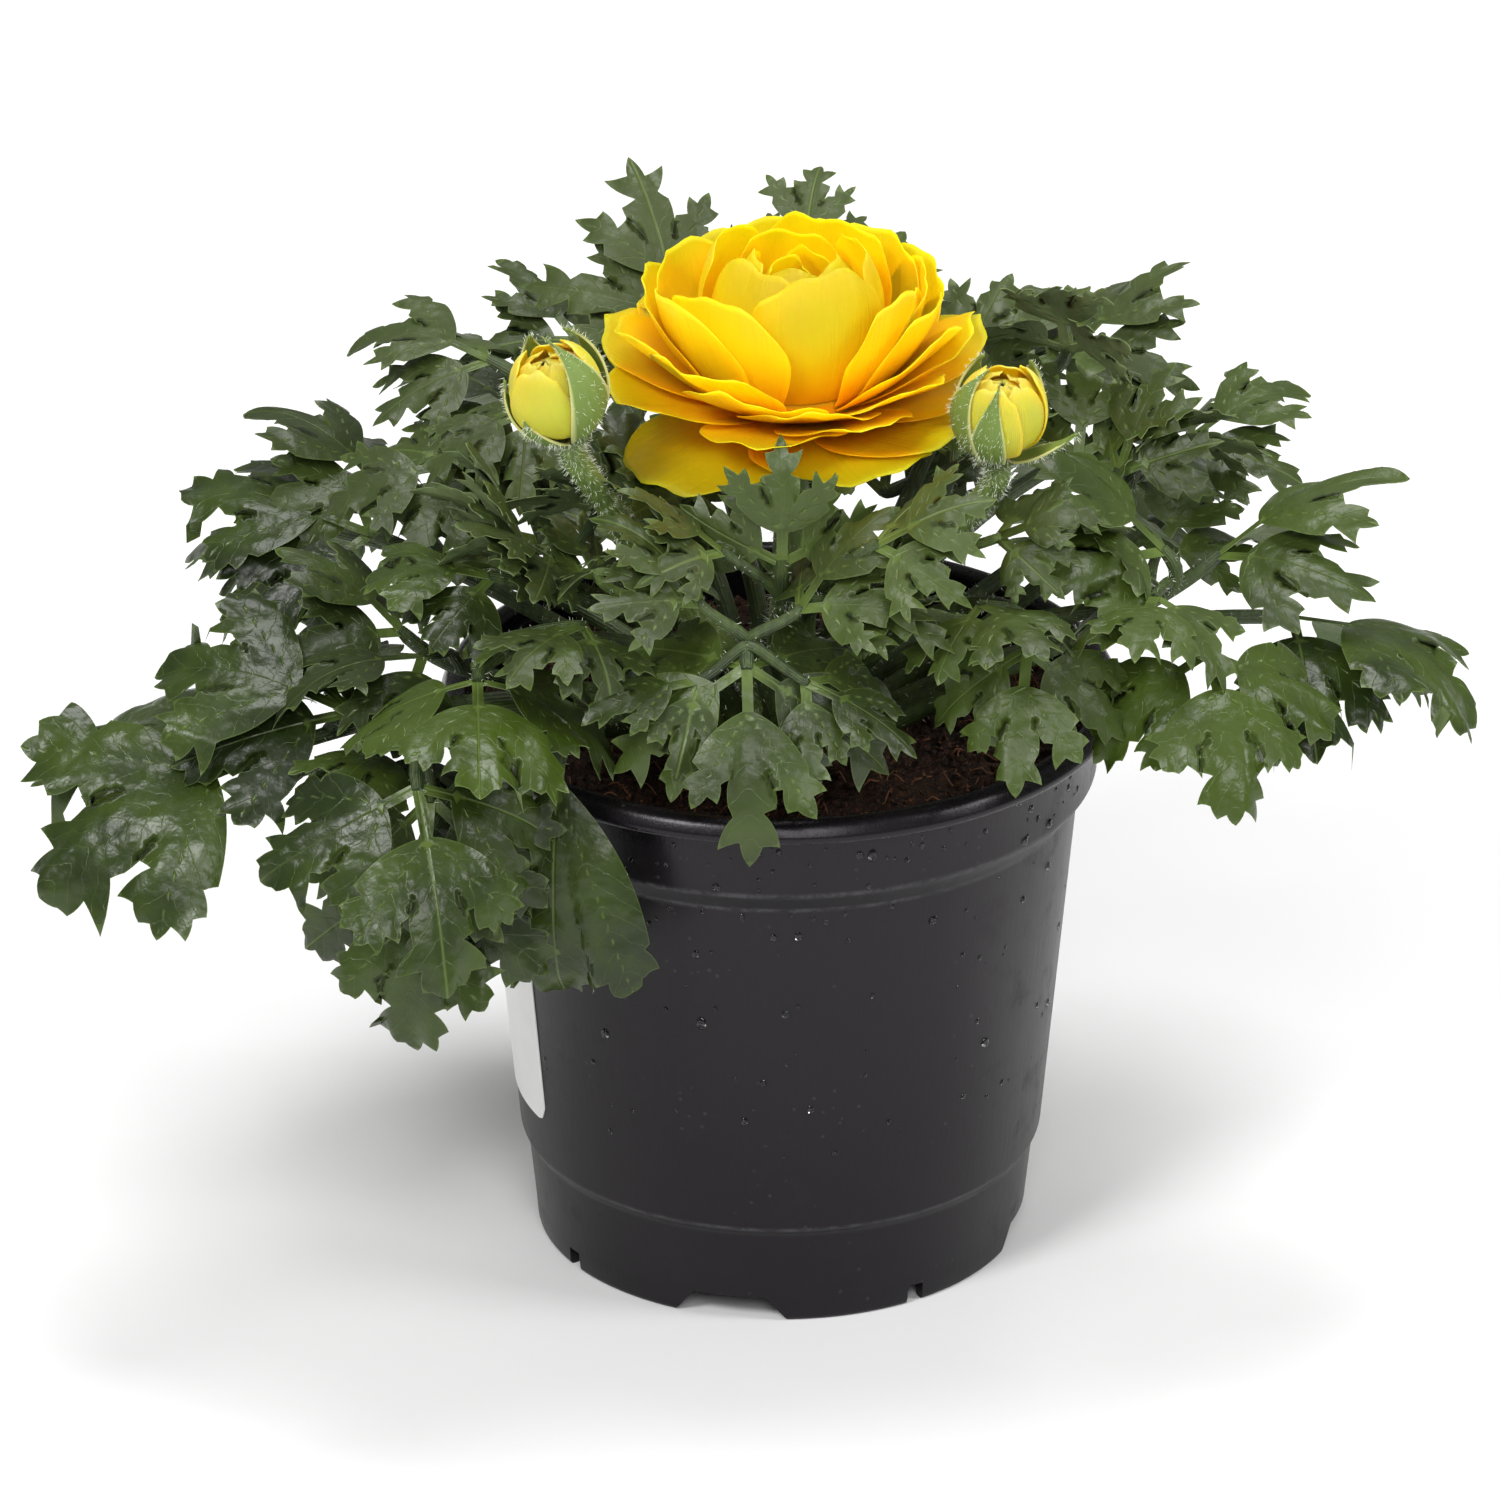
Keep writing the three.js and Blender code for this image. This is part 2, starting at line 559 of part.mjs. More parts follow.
// The lobes of one leaflet, fanned out from its base
function addLobes({ style, leaflet, points, faces, rim, add, base, baseRight, baseLeft }) {
  const { lobes, sinus, margin, ribs } = style;
  const { length, stem } = leaflet;
  const place = (along, across, angle, thickness) => {
    const [cos, sin] = [Math.cos(angle * DEGREE), Math.sin(angle * DEGREE)];
    return add(leaflet, stem + along * cos - across * sin, along * sin + across * cos, thickness);
  };
  let lobeStart = baseRight;
  lobes.forEach(([direction, share], index) => {
    const reach = share * length;
    const tip = place(reach, 0, direction, MARGIN_PLATE);
    const ribPoints = ribs.map((along) => place(along * reach, 0, direction, RIB_PLATE));
    const ribLine = [base, ...ribPoints, tip];
    const edge = (side) =>
      margin.map(([along, across]) =>
        place(along * reach, side * across * reach, direction, MARGIN_PLATE),
      );
    const isLast = index === lobes.length - 1;
    const cut = isLast ? 0 : (direction + lobes[index + 1][0]) / 2;
    const lobeEnd = isLast ? baseLeft : place(sinus * length, 0, cut, MARGIN_PLATE);
    const right = [lobeStart, ...edge(-1), tip];
    const left = [lobeEnd, ...edge(1), tip];
    faces.push(...lobeFaces(points, ribLine, right, false));
    faces.push(...lobeFaces(points, ribLine, left, true));
    rim.push(...right.slice(1), ...left.slice(0, -1).reverse());
    lobeStart = lobeEnd;
  });
}

// How far a point of a flat leaflet stands above the blade: cup, folds along ribs, curl, waves
function leafletRelief(style, length, along, across, phase) {
  const reach = Math.hypot(along, across) / length;
  const angle = Math.atan2(across, along) / DEGREE;
  const offRib = style.lobes.map(([direction]) => Math.abs(angle - direction));
  const fromRib = Math.sin(Math.min(...offRib, 40) * DEGREE) * reach;
  const cup = style.cup * (across / length) ** 2;
  const fold = style.fold * fromRib;
  const curl = -style.curl * reach ** 3;
  const ruffle = style.ruffle * reach ** 2 * Math.sin(angle / 17 + phase);
  return length * (cup + fold + curl + ruffle);
}

function leafFrame(heading, pitch, roll) {
  const [h, p, r] = [heading, pitch, roll].map((angle) => angle * DEGREE);
  const forward = new THREE.Vector3(Math.cos(p) * Math.cos(h), Math.cos(p) * Math.sin(h), Math.sin(p));
  const level = new THREE.Vector3(-Math.sin(h), Math.cos(h), 0);
  const upright = new THREE.Vector3().crossVectors(forward, level);
  const left = level.clone().multiplyScalar(Math.cos(r)).addScaledVector(upright, Math.sin(r));
  const up = upright.clone().multiplyScalar(Math.cos(r)).addScaledVector(level, -Math.sin(r));
  return { forward, left, up };
}

// Bends a point of the flat blade down round the hub, to its place and normal
function onBlade(hub, frame, droopPerLength, across, along, lift) {
  const reach = Math.hypot(along, across);
  const outward = frame.forward.clone().multiplyScalar(along);
  outward.addScaledVector(frame.left, across).divideScalar(Math.max(reach, 1e-6));
  const bend = droopPerLength * reach;
  const away = bend > 0 ? Math.sin(bend) / droopPerLength : reach;
  const fall = bend > 0 ? (1 - Math.cos(bend)) / droopPerLength : 0;
  const normal = frame.up.clone().multiplyScalar(Math.cos(bend));
  normal.addScaledVector(outward, Math.sin(bend));
  const point = hub.clone().addScaledVector(outward, away).addScaledVector(frame.up, -fall);
  return { point: point.addScaledVector(normal, lift), normal };
}

// Where a leaf's stalk starts: at an angle on its root circle, or at a place on a stem
function rootPoint(ring, place) {
  if (ring === "stem") return new THREE.Vector3(...place);
  const [radius, angle] = [ROOT_CIRCLE[ring], place * DEGREE];
  return new THREE.Vector3(radius * Math.cos(angle), radius * Math.sin(angle), STALK_START);
}

// The line of a leaf's stalk, from its root to the rear edge of the blade
function stalkCurve(hub, frame, ring, place) {
  const root = rootPoint(ring, place);
  const direction = new THREE.Vector3(hub.x, hub.y, 0).normalize();
  const { up, out } = STALK_LEAN[ring];
  const span = hub.distanceTo(root);
  const first = root.clone().addScaledVector(direction, out * span);
  first.z += up * span;
  const last = hub.clone().addScaledVector(frame.forward, -0.3 * span);
  const end = hub.clone().addScaledVector(frame.forward, -LEAFLET_STALK_WIDTH / 2);
  return new THREE.CubicBezierCurve3(root, first, last, end);
}

// Square sections of the stalk, each as its upper right, upper left, lower left and lower right
// corner. The first lies flat on the rootstock, and the blade's rear edge takes the last one's place.
function stalkSections(curve, frame, steps) {
  const vertical = new THREE.Vector3(0, 0, 1);
  const away = curve.v2.clone().sub(curve.v0);
  const rootLeft = new THREE.Vector3().crossVectors(vertical, away).normalize();
  if (rootLeft.dot(frame.left) < 0) rootLeft.negate();
  const sections = [];
  for (let step = 0; step < steps; step += 1) {
    const share = step / steps;
    const tangent = step === 0 ? vertical : curve.getTangent(share);
    const left = rootLeft.clone().lerp(frame.left, share);
    left.addScaledVector(tangent, -left.dot(tangent)).normalize();
    const up = new THREE.Vector3().crossVectors(tangent, left);
    const half = STALK_HALF * (1.15 - 0.3 * share);
    const centre = curve.getPoint(share);
    for (const [side, rise] of [[-1, 1], [1, 1], [1, -1], [-1, -1]]) {
      const corner = centre.clone().addScaledVector(left, side * half);
      sections.push(corner.addScaledVector(up, rise * half).toArray());
    }
  }
  return sections;
}

// A leaf as one closed mesh: the plate of its blade, and its stalk down to the rootstock
function leafMesh(placed, plan, sections, steps) {
  const { points, triangles, count } = plateMesh(placed, plan.faces, plan.rim, true);
  const first = points.length;
  points.push(...sections);
  const { rearRight, rearLeft } = plan;
  const rear = [rearRight, rearLeft, count + rearLeft, count + rearRight];
  const corner = (step, index) => {
    const turnedIndex = index % 4;
    return step === steps ? rear[turnedIndex] : first + 4 * step + turnedIndex;
  };
  for (let step = 0; step < steps; step += 1) {
    for (let side = 0; side < 4; side += 1) {
      const [a, b] = [corner(step, side), corner(step + 1, side)];
      const [c, d] = [corner(step + 1, side + 1), corner(step, side + 1)];
      triangles.push([a, b, c], [a, c, d]);
    }
  }
  triangles.push([first, first + 1, first + 2], [first, first + 2, first + 3]);
  return solidFromMesh(points, triangles);
}

function leaf(row, index) {
  const [name, styleName, ring, rootPlace, hubPlace, heading, pitch, roll, size, spread, droop] = row;
  const style = LEAF_STYLES[styleName];
  const hub = new THREE.Vector3(...hubPlace);
  const frame = leafFrame(heading, pitch, roll);
  const droopPerLength = (droop * DEGREE) / size;
  const kind = ring === "stem" ? "three" : (LEAFLET_KINDS[name] ?? "three");
  const leaflets = LEAFLETS[kind].map(([side, share, stalkShare], number) => ({
    side,
    length: share * (1 - stalkShare) * size,
    stem: share * stalkShare * size,
    phase: 1.7 * index + 2.1 * number,
  }));
  const plan = leafPlan(style, leaflets, spread);
  const placed = plan.points.map(({ leaflet, along, across, forward, sideways, thickness }) => {
    const past = Math.max(along - leaflet.stem, 0);
    const offset = past > 0 ? across : 0;
    const relief = leafletRelief(style, leaflet.length, past, offset, leaflet.phase);
    const lift = relief - LEAFLET_FALL * Math.abs(leaflet.side) * Math.max(along, 0);
    return { ...onBlade(hub, frame, droopPerLength, sideways, forward, lift), thickness };
  });
  const stalk = stalkCurve(hub, frame, ring, rootPlace);
  const steps = ring === "stem" ? SIDE_STALK_STEPS : STALK_STEPS;
  const sections = stalkSections(stalk, frame, steps);
  return { name, stalk, solid: leafMesh(placed, plan, sections, steps) };
}

// A leaf with the lower blades that its stalk carries
function wholeLeaf(row, index) {
  const { name, stalk, solid } = leaf(row, index);
  const carried = SIDE_LEAVES.filter(([carrier]) => carrier === name);
  const blades = carried.map(([, share, style, ...columns], number) => {
    const joint = stalk.getPoint(share).toArray();
    return leaf([name, style, "stem", joint, ...columns], 60 + index + number).solid;
  });
  return { name, solid: blades.length > 0 ? joined([solid, ...blades]) : solid };
}

// The small leaves of a stem, numbered on from the first one's number
function stemLeaves(rows, first) {
  return rows.map((row, index) => leaf(["stem leaf", ...row], first + index).solid);
}

// Flower

// Petals from the heart of the flower outwards: share of the way out, where the petal starts
// (radius, height), the slope where it starts and where it ends, its length and half its width.
const PETAL_STAGES = [
  [0, 1, 3.4, 80, 110, 18, 5],
  [0.12, 4.5, 3, 66, 132, 22, 8],
  [0.3, 8.5, 3.8, 55, 130, 25, 11],
  [0.42, 10.5, 4, 45, 124, 26, 13],
  [0.5, 11.5, 3.4, 38, 95, 23, 14],
  [0.65, 12, 2.6, 30, 50, 23, 15],
  [0.8, 11, 0.9, 20, 28, 24.5, 16],
  [0.9, 9.5, -1, 8, 4, 25.5, 17],
  [1, 7.5, -2.6, 0, -25, 27, 17],
];
const INNER_PETALS = 14;
const INNER_PETALS_SHARE = 0.68;
const PETAL_START_TURN = 26;

// The outermost petals: their angle from +X and their share of the way out
const OUTER_PETALS = [
  [233, 1], [187, 0.9], [352, 0.88], [324, 0.92], [293, 0.95], [262, 0.8],
  [282, 0.86], [33, 0.9], [74, 0.88], [112, 0.91], [150, 0.87], [212, 0.78],
];

function petalStage(share) {
  let index = 1;
  while (index < PETAL_STAGES.length - 1 && PETAL_STAGES[index][0] < share) index += 1;
  const [before, after] = [PETAL_STAGES[index - 1], PETAL_STAGES[index]];
  const mix = (share - before[0]) / (after[0] - before[0]);
  return before.slice(1).map((value, column) => value + (after[column + 1] - value) * mix);
}

// A petal on a surface turned about the flower's axis, with a rounded tip
function petal(stage, turn, wave, phase, columns, rows) {
  const [startRadius, startHeight, startSlope, endSlope, length, halfWidth] = stage;
  const [from, to] = [startSlope * DEGREE, endSlope * DEGREE];
  const perSlope = length / (to - from);
  const widest = 80 * DEGREE;
  return gridPlate(columns, rows, (across, along) => {
    const share = along * (1 - 0.2 * Math.abs(across) ** 3);
    const slope = from + (to - from) * share;
    const radius = startRadius + perSlope * (Math.sin(slope) - Math.sin(from));
    const height = startHeight - perSlope * (Math.cos(slope) - Math.cos(from));
    const width = halfWidth * (0.4 + 0.6 * Math.sin(share * 110 * DEGREE)) * across;
    const swing = widest * Math.tanh(width / (Math.max(radius, 1) * widest));
    const angle = turn * DEGREE - swing;
    const outward = new THREE.Vector3(Math.cos(angle), Math.sin(angle), 0);
    const normal = outward.clone().multiplyScalar(-Math.sin(slope));
    normal.z = Math.cos(slope);
    const point = outward.multiplyScalar(radius);
    point.z = height;
    point.addScaledVector(normal, wave * share ** 2 * Math.sin(2.4 * across + phase));
    return { point, normal, thickness: PETAL_PLATE };
  });
}

function flowerHead() {
  const receptacle = turned(
    [
      [0, -4],
      [RECEPTACLE_RADIUS, -4],
      [9.6, -2.6],
      [12.8, 1.6],
      [13, 5.6],
      [6, 4.6],
      [2.2, 5],
      [1.8, 20],
      [0, 23],
    ],
    12,
  );
  const petals = [];
  for (let index = 0; index < INNER_PETALS; index += 1) {
    const share = (INNER_PETALS_SHARE * index) / (INNER_PETALS - 1);
    const turn = PETAL_START_TURN + index * GOLDEN_ANGLE;
    petals.push(petal(petalStage(share), turn, 0.4 * share, index, 2, 3));
  }
  OUTER_PETALS.forEach(([turn, share], index) => {
    petals.push(petal(petalStage(share), turn, 2.6 * (share - 0.5), index, 3, 3));
  });
  return joined([receptacle, ...petals]).translate(FLOWER_BASE);
}

// Green leaves under a flower or bud, and the stem that carries it
function sepal(startRadius, startHeight, startSlope, endSlope, length, halfWidth, turn) {
  const stage = [startRadius, startHeight, startSlope, endSlope, length, halfWidth];
  return petal(stage, turn, 0, 0, 2, 3);
}

function flowerStem() {
  const [x, y, z] = FLOWER_BASE;
  const top = z - 4 - GAP;
  const cup = turned(
    [
      [0, -7],
      [FLOWER_STEM_RADIUS - 0.2, -7],
      [4.6, -2],
      [4.8, 0],
      [0, 0],
    ],
    10,
  ).translate([x, y, top]);
  const sepals = [];
  for (let index = 0; index < 5; index += 1) {
    sepals.push(sepal(4, -1.4, -20, -75, 13, 3.6, 36 + 72 * index).translate([x, y, top]));
  }
  const stem = bar(
    [
      new THREE.Vector3(0, 0, STALK_START),
      new THREE.Vector3(0, 0, STALK_START + 8),
      new THREE.Vector3(x * 0.6, y * 0.6, (STALK_START + top) / 2),
      new THREE.Vector3(x, y, top - 6),
      new THREE.Vector3(x, y, top - 4),
    ],
    FLOWER_STEM_RADIUS,
    6,
    5,
  );
  const leaves = stemLeaves(STEM_LEAVES.flower, 40);
  return joined([stem, cup, ...sepals, ...leaves]);
}

// Buds: the middle of the ball, its radius, the way it leans, the stem's foot and one bend, and
// the sepals as angle from +X, latitude of the tip and how far the tip stands off
const BUDS = [
  {
    name: "left",
    centre: [-38.5, -35, 175],
    radius: 8.6,
    leanTowards: [-0.26, -0.22],
    foot: [-5, -3.4],
    bend: [-20, -18, 132],
    sepals: [[302, 72, 1.5], [236, 6, 2.5], [176, 24, 4], [112, 50, 0.6], [38, 50, 0.6]],
  },
  {
    name: "right",
    centre: [37.5, -29, 168.5],
    radius: 8.4,
    leanTowards: [0.1, -0.24],
    foot: [5, -3.4],
    bend: [24, -16, 134],
    sepals: [[260, 52, 0.6], [192, 55, 0.9], [338, 4, 6], [52, 46, 0.6], [128, 46, 0.6]],
  },
];
const BUD_STEM_RADIUS = 2.3;
const BUD_HEIGHT_SHARE = 1.1;
const BUD_PETALS = 5;

// A patch on the bud's egg between two latitudes. It starts at one radius, has the other from a
// third of its length on, narrows to its tip and may flare out there.
function budPatch({ turn, latitudes, radii, halfWidth, tipShare, flare, thickness }) {
  return gridPlate(2, 3, (across, along) => {
    const share = along * (1 - 0.12 * across ** 2);
    const latitude = (latitudes[0] + (latitudes[1] - latitudes[0]) * share) * DEGREE;
    const width = halfWidth * (1 - (1 - tipShare) * along ** 2) * across;
    const angle = (turn + width) * DEGREE;
    const outward = new THREE.Vector3(
      Math.cos(latitude) * Math.cos(angle),
      Math.cos(latitude) * Math.sin(angle),
      Math.sin(latitude),
    );
    const radius = radii[0] + (radii[1] - radii[0]) * Math.min(3 * along, 1);
    const point = outward.clone().multiplyScalar(radius + flare * share ** 3);
    point.z *= BUD_HEIGHT_SHARE;
    return { point, normal: outward, thickness };
  });
}

// Moves a solid from the bud's own frame, axis up, to its place
function toBud(solid, { centre, leanTowards }) {
  const axis = new THREE.Vector3(...leanTowards, 1).normalize();
  const turn = new THREE.Quaternion().setFromUnitVectors(new THREE.Vector3(0, 0, 1), axis);
  const matrix = new THREE.Matrix4().compose(
    new THREE.Vector3(...centre),
    turn,
    new THREE.Vector3(1, 1, 1),
  );
  return solid.transform(matrix.elements);
}

// An egg's outline from one latitude to another
function eggProfile(radius, latitudes) {
  return latitudes.map((latitude) => {
    const angle = latitude * DEGREE;
    const out = Math.abs(latitude) === 90 ? 0 : radius * Math.cos(angle);
    return [out, radius * Math.sin(angle) * BUD_HEIGHT_SHARE];
  });
}

function budPetals(bud) {
  const heartRadius = bud.radius - 2.6;
  const heart = turned(eggProfile(heartRadius, [-90, -50, 0, 40, 90]), 8);
  const petals = [];
  for (let index = 0; index < BUD_PETALS; index += 1) {
    const inset = ((bud.radius - 0.4 - heartRadius - 0.5) * index) / BUD_PETALS;
    petals.push(
      budPatch({
        turn: index * GOLDEN_ANGLE,
        latitudes: [-55, 62],
        radii: [heartRadius - 0.2, bud.radius - 0.4 - inset],
        halfWidth: 48,
        tipShare: 0.8,
        flare: 0,
        thickness: 0.7,
      }),
    );
  }
  return toBud(joined([heart, ...petals]), bud);
}

function budStem(bud) {
  const { centre, radius, leanTowards, foot, bend } = bud;
  const shell = radius + 1.15;
  const cup = turned(
    [
      ...eggProfile(shell + 1.1, [-90, -62, -36]),
      ...eggProfile(radius + 0.3, [-36, -62, -90]),
    ],
    10,
  );
  const sepals = bud.sepals.map(([turn, tipLatitude, flare], index) =>
    budPatch({
      turn,
      latitudes: [-48, tipLatitude],
      radii: [shell, shell + 0.1 * index],
      halfWidth: 37,
      tipShare: 0.15,
      flare,
      thickness: 0.8,
    }),
  );
  const calyx = toBud(joined([cup, ...sepals]), bud);
  const axis = new THREE.Vector3(...leanTowards, 1).normalize();
  const top = new THREE.Vector3(...centre).addScaledVector(axis, -(shell + 0.2) * BUD_HEIGHT_SHARE);
  const stem = bar(
    [
      new THREE.Vector3(...foot, STALK_START),
      new THREE.Vector3(...foot, STALK_START + 8),
      new THREE.Vector3(...bend),
      top.clone().addScaledVector(axis, -8),
      top,
    ],
    BUD_STEM_RADIUS,
    6,
    6,
  );
  const leaves = stemLeaves(STEM_LEAVES[bud.name], 50);
  return joined([calyx, stem, ...leaves]);
}

// Materials and the assembled plant

const MATERIALS = {
  pot: { color: 0x2b2a2c, roughness: 0.42, metalness: 0 },
  sticker: { color: 0xf2f1ee, roughness: 0.6, metalness: 0 },
  soil: { color: 0x2a1c14, roughness: 0.95, metalness: 0 },
  rootstock: { color: 0x6b5136, roughness: 0.9, metalness: 0 },
  leaf: { color: 0x2f5a2c, roughness: 0.45, metalness: 0 },
  stem: { color: 0x6f9a48, roughness: 0.6, metalness: 0 },
  petal: { color: 0xffc414, roughness: 0.55, metalness: 0 },
};

function named(name, solid, look) {
  const mesh = new THREE.Mesh(geometryFromSolid(solid), new THREE.MeshStandardMaterial(MATERIALS[look]));
  mesh.name = name;
  return mesh;
}

const plant = new THREE.Group();
plant.name = "potted_persian_buttercup";
plant.add(named("pot", pot(), "pot"));
plant.add(named("sticker", sticker(), "sticker"));
plant.add(named("soil", soil(), "soil"));
plant.add(named("rootstock", rootstock(), "rootstock"));
LEAVES.map(wholeLeaf).forEach(({ name, solid }) => plant.add(named(name, solid, "leaf")));
plant.add(named("flower_petals", flowerHead(), "petal"));
plant.add(named("flower_stem", flowerStem(), "stem"));
for (const bud of BUDS) {
  plant.add(named(`${bud.name}_bud_petals`, budPetals(bud), "petal"));
  plant.add(named(`${bud.name}_bud_stem`, budStem(bud), "stem"));
}

export default plant;
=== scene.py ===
import math
from collections import namedtuple
from itertools import groupby

import bpy
import numpy as np
from mathutils import Matrix, Vector
from mathutils.geometry import delaunay_2d_cdt


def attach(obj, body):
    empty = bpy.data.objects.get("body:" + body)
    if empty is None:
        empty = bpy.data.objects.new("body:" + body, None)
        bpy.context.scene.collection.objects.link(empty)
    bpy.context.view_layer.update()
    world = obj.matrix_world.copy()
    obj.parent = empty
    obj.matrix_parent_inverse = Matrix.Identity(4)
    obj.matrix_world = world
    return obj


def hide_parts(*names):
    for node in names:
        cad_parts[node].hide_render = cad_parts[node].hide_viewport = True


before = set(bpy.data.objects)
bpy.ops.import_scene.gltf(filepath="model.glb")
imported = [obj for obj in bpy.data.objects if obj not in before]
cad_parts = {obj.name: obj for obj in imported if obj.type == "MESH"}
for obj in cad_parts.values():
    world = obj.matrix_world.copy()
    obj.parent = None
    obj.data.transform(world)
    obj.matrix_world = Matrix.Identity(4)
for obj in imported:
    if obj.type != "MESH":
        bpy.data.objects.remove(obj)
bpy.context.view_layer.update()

# Places and sizes are in millimetres, as in the part's own frame, until a mesh is made.
MM = 0.001
DEGREE = math.pi / 180
GOLDEN_ANGLE = 137.508

# Camera: where it looks, how far it stands, its height above the level and the width it takes in
CAMERA_TARGET = (-5.46, 0, 90.6)
CAMERA_DISTANCE = 2000
CAMERA_ELEVATION = 25.5
FRAME_WIDTH = 264.1
SENSOR_WIDTH = 36

# Studio: the light from all round, and in metres the floor's half width, the place that the lights
# aim at and each light's own place and size, with its power in watts
WORLD_LIGHT = 0.28
FLOOR_REACH = 6
LIGHT_AIM = (0, 0, 0.1)
LIGHTS = {
    "light_left": ((-1.2, -1.5, 2.0), 0.8, 38),
    "light_right": ((1.7, -0.5, 1.3), 0.8, 18),
    "light_top": ((0.1, 0.5, 2.2), 1.1, 30),
    "light_front": ((0.2, -2.0, 1.5), 1.0, 20),
}

# Pot
POT_LIP_RADIUS = 60
POT_HEIGHT = 105
POT_WALL = 1.2
LIP_BOTTOM = POT_HEIGHT - 4.2
COLLAR_RADIUS = 55.6
COLLAR_LEAN = 0.8
COLLAR_TOP = POT_HEIGHT - 4.4
COLLAR_BOTTOM = 89
SHOULDER_RADIUS = 52.4
SHOULDER_HEIGHT = 85
GROOVE_RADIUS = 46.4
GROOVE_HEIGHT = 19.4
FOOT_RADIUS = 43.4
FOOT_LEAN = 0.4
FOOT_HEIGHT = 5
FOOT_THICKNESS = 2
FLOOR_THICKNESS = 1.4
CENTRE_PAD_RADIUS = 8
POT_FILLET = 0.9
POT_SHARP_EDGE = 38
LATHE_SIDES = 192

# Drain holes in the floor, and arches in the foot: for each kind of arch the angle of the first
# from the front, its width below and above and its height
DRAIN_RADIUS = 4.5
DRAIN_CIRCLE = 27
DRAIN_COUNT = 6
DRAIN_CUT = 8
ARCHES = ((-12, 22, 13, 4.6), (33, 3.4, 3, 3.6))
ARCH_COUNT = 4
ARCH_START = FOOT_RADIUS - 9
ARCH_CUT = 14

# Label on the pot's left side: the direction that it faces, from +X, half of the angle that it
# covers, its middle and half its height
LABEL_ANGLE = -180
LABEL_HALF_ANGLE = 29
LABEL_MIDDLE = 52
LABEL_HALF_HEIGHT = 23.5
LABEL_CORNER = 3
LABEL_LIFT = 0.25
LABEL_THICKNESS = 0.2

# Drops of water on the pot: between two angles from the front, a share of them on the collar and
# the rest on the wall, from the top one down over the fall
DROP_COUNT = 170
DROP_ANGLES = (-75, 80)
COLLAR_DROPS_SHARE = 0.45
DROP_TOP = 84
DROP_FALL = 50
DROP_HEIGHT_SHARE = 0.55
DROP_GRID = (4, 12)

# Soil and crown
SOIL_TOP = 95.5
SOIL_DIP = 2.4
SOIL_RIM = COLLAR_RADIUS - POT_WALL - 0.1
SOIL_HEART = 6
SOIL_GRID = (70, 220)
CRUMB_COUNT = 1500
CRUMB_SIZE = (0.35, 1.25)
FIBRE_COUNT = 220
FIBRE_STEPS = 8
FIBRE_RADIUS = (0.22, 0.1)
ROOTSTOCK_RADIUS = 18
ROOTSTOCK_TOP = 96.5
OLD_STALK_COUNT = 26
GAP = 0.3

# Stalks: the circles on the rootstock where they start, their height there, how they leave it (up
# and out, in shares of their span), their radii at both ends and the steps along them
ROOT_CIRCLE = {"outer": 15.6, "middle": 10.6, "inner": 6}
STALK_START = ROOTSTOCK_TOP + GAP
STALK_LEAN = {"outer": (0.22, 0.34), "middle": (0.42, 0.12), "inner": (0.5, 0.02), "stem": (0.3, 0.1)}
STALK_RADIUS = (1.75, 1.25)
STALK_STEPS = 25

# Blades: how steeply side leaflets fall, half the width of a leaflet's stalk, the spacing of the
# points inside, and how far the scene's blades reach past a leaf's size. Leaves under one height are
# painted darker, as shade under the leaves above them, and those over another turn pale.
LEAFLET_FALL = 0.26
LEAFLET_FOOT = 0.95
BLADE_GRID = 1.15
BLADE_THICKNESS = 0.4
BLADE_REACH = 1.07
LOW_LEAF_HEIGHT = 122
# Painted shade: how much darker the low leaves are made
LOW_LEAF_PAINTED_SHADE = 0.45
PALE_FROM = 125
PALE_OVER = 70
TOOTH_BULGE = 0.08
TOOTH_STEP = 0.9
SHORTEST_STEP = 0.05
LEAF_SHARP_EDGE = 60

# Flower and buds
FLOWER_BASE = (2, -5, 160.2)
FLOWER_STEM_RADIUS = 2.9
FLOWER_SEPALS = 5
BUD_STEM_RADIUS = 2.3
BUD_GRID = (16, 22)
PETAL_THICKNESS = 0.3
SEPAL_THICKNESS = 0.45

# Hairs: their width, how deep they root, how far they scatter, how many stand on a millimetre of
# stalk and how long they are, and the count and length on each kind of stem and on a sepal
HAIR_WIDTH = 0.09
HAIR_ROOT = 0.1
HAIR_SCATTER = 0.35
HAIRS_PER_LENGTH = 2
STALK_HAIR = 1.0
FLOWER_STEM_HAIRS = (1500, 1.7)
BUD_STEM_HAIRS = (2400, 1.2)
SEPAL_HAIRS = (200, 1.1)

# A leaf's or stem's materials, in the order of its slots
BLADE, UNDER, STEM, HAIR, SEPAL = range(5)


# Vectors

def unit(vector):
    vector = np.asarray(vector, float)
    return vector / np.maximum(np.linalg.norm(vector, axis=-1, keepdims=True), 1e-9)


def around(angle):
    """The level direction at an angle from +X, in radians, or a row for each of many."""
    angle = np.asarray(angle, float)
    return np.stack([np.cos(angle), np.sin(angle), np.zeros_like(angle)], axis=-1)


def from_front(angle):
    """The level direction at an angle from the front, in degrees, positive towards +X."""
    return np.array([math.sin(angle * DEGREE), -math.cos(angle * DEGREE), 0])


def full_turn(sides):
    return np.linspace(0, 2 * math.pi, sides, endpoint=False)


def bezier(controls, count):
    """Points along a cubic curve of four control points."""
    a, b, c, d = (np.asarray(point, float) for point in controls)
    t = np.linspace(0, 1, count)[:, None]
    return (1 - t) ** 3 * a + 3 * (1 - t) ** 2 * t * b + 3 * (1 - t) * t**2 * c + t**3 * d


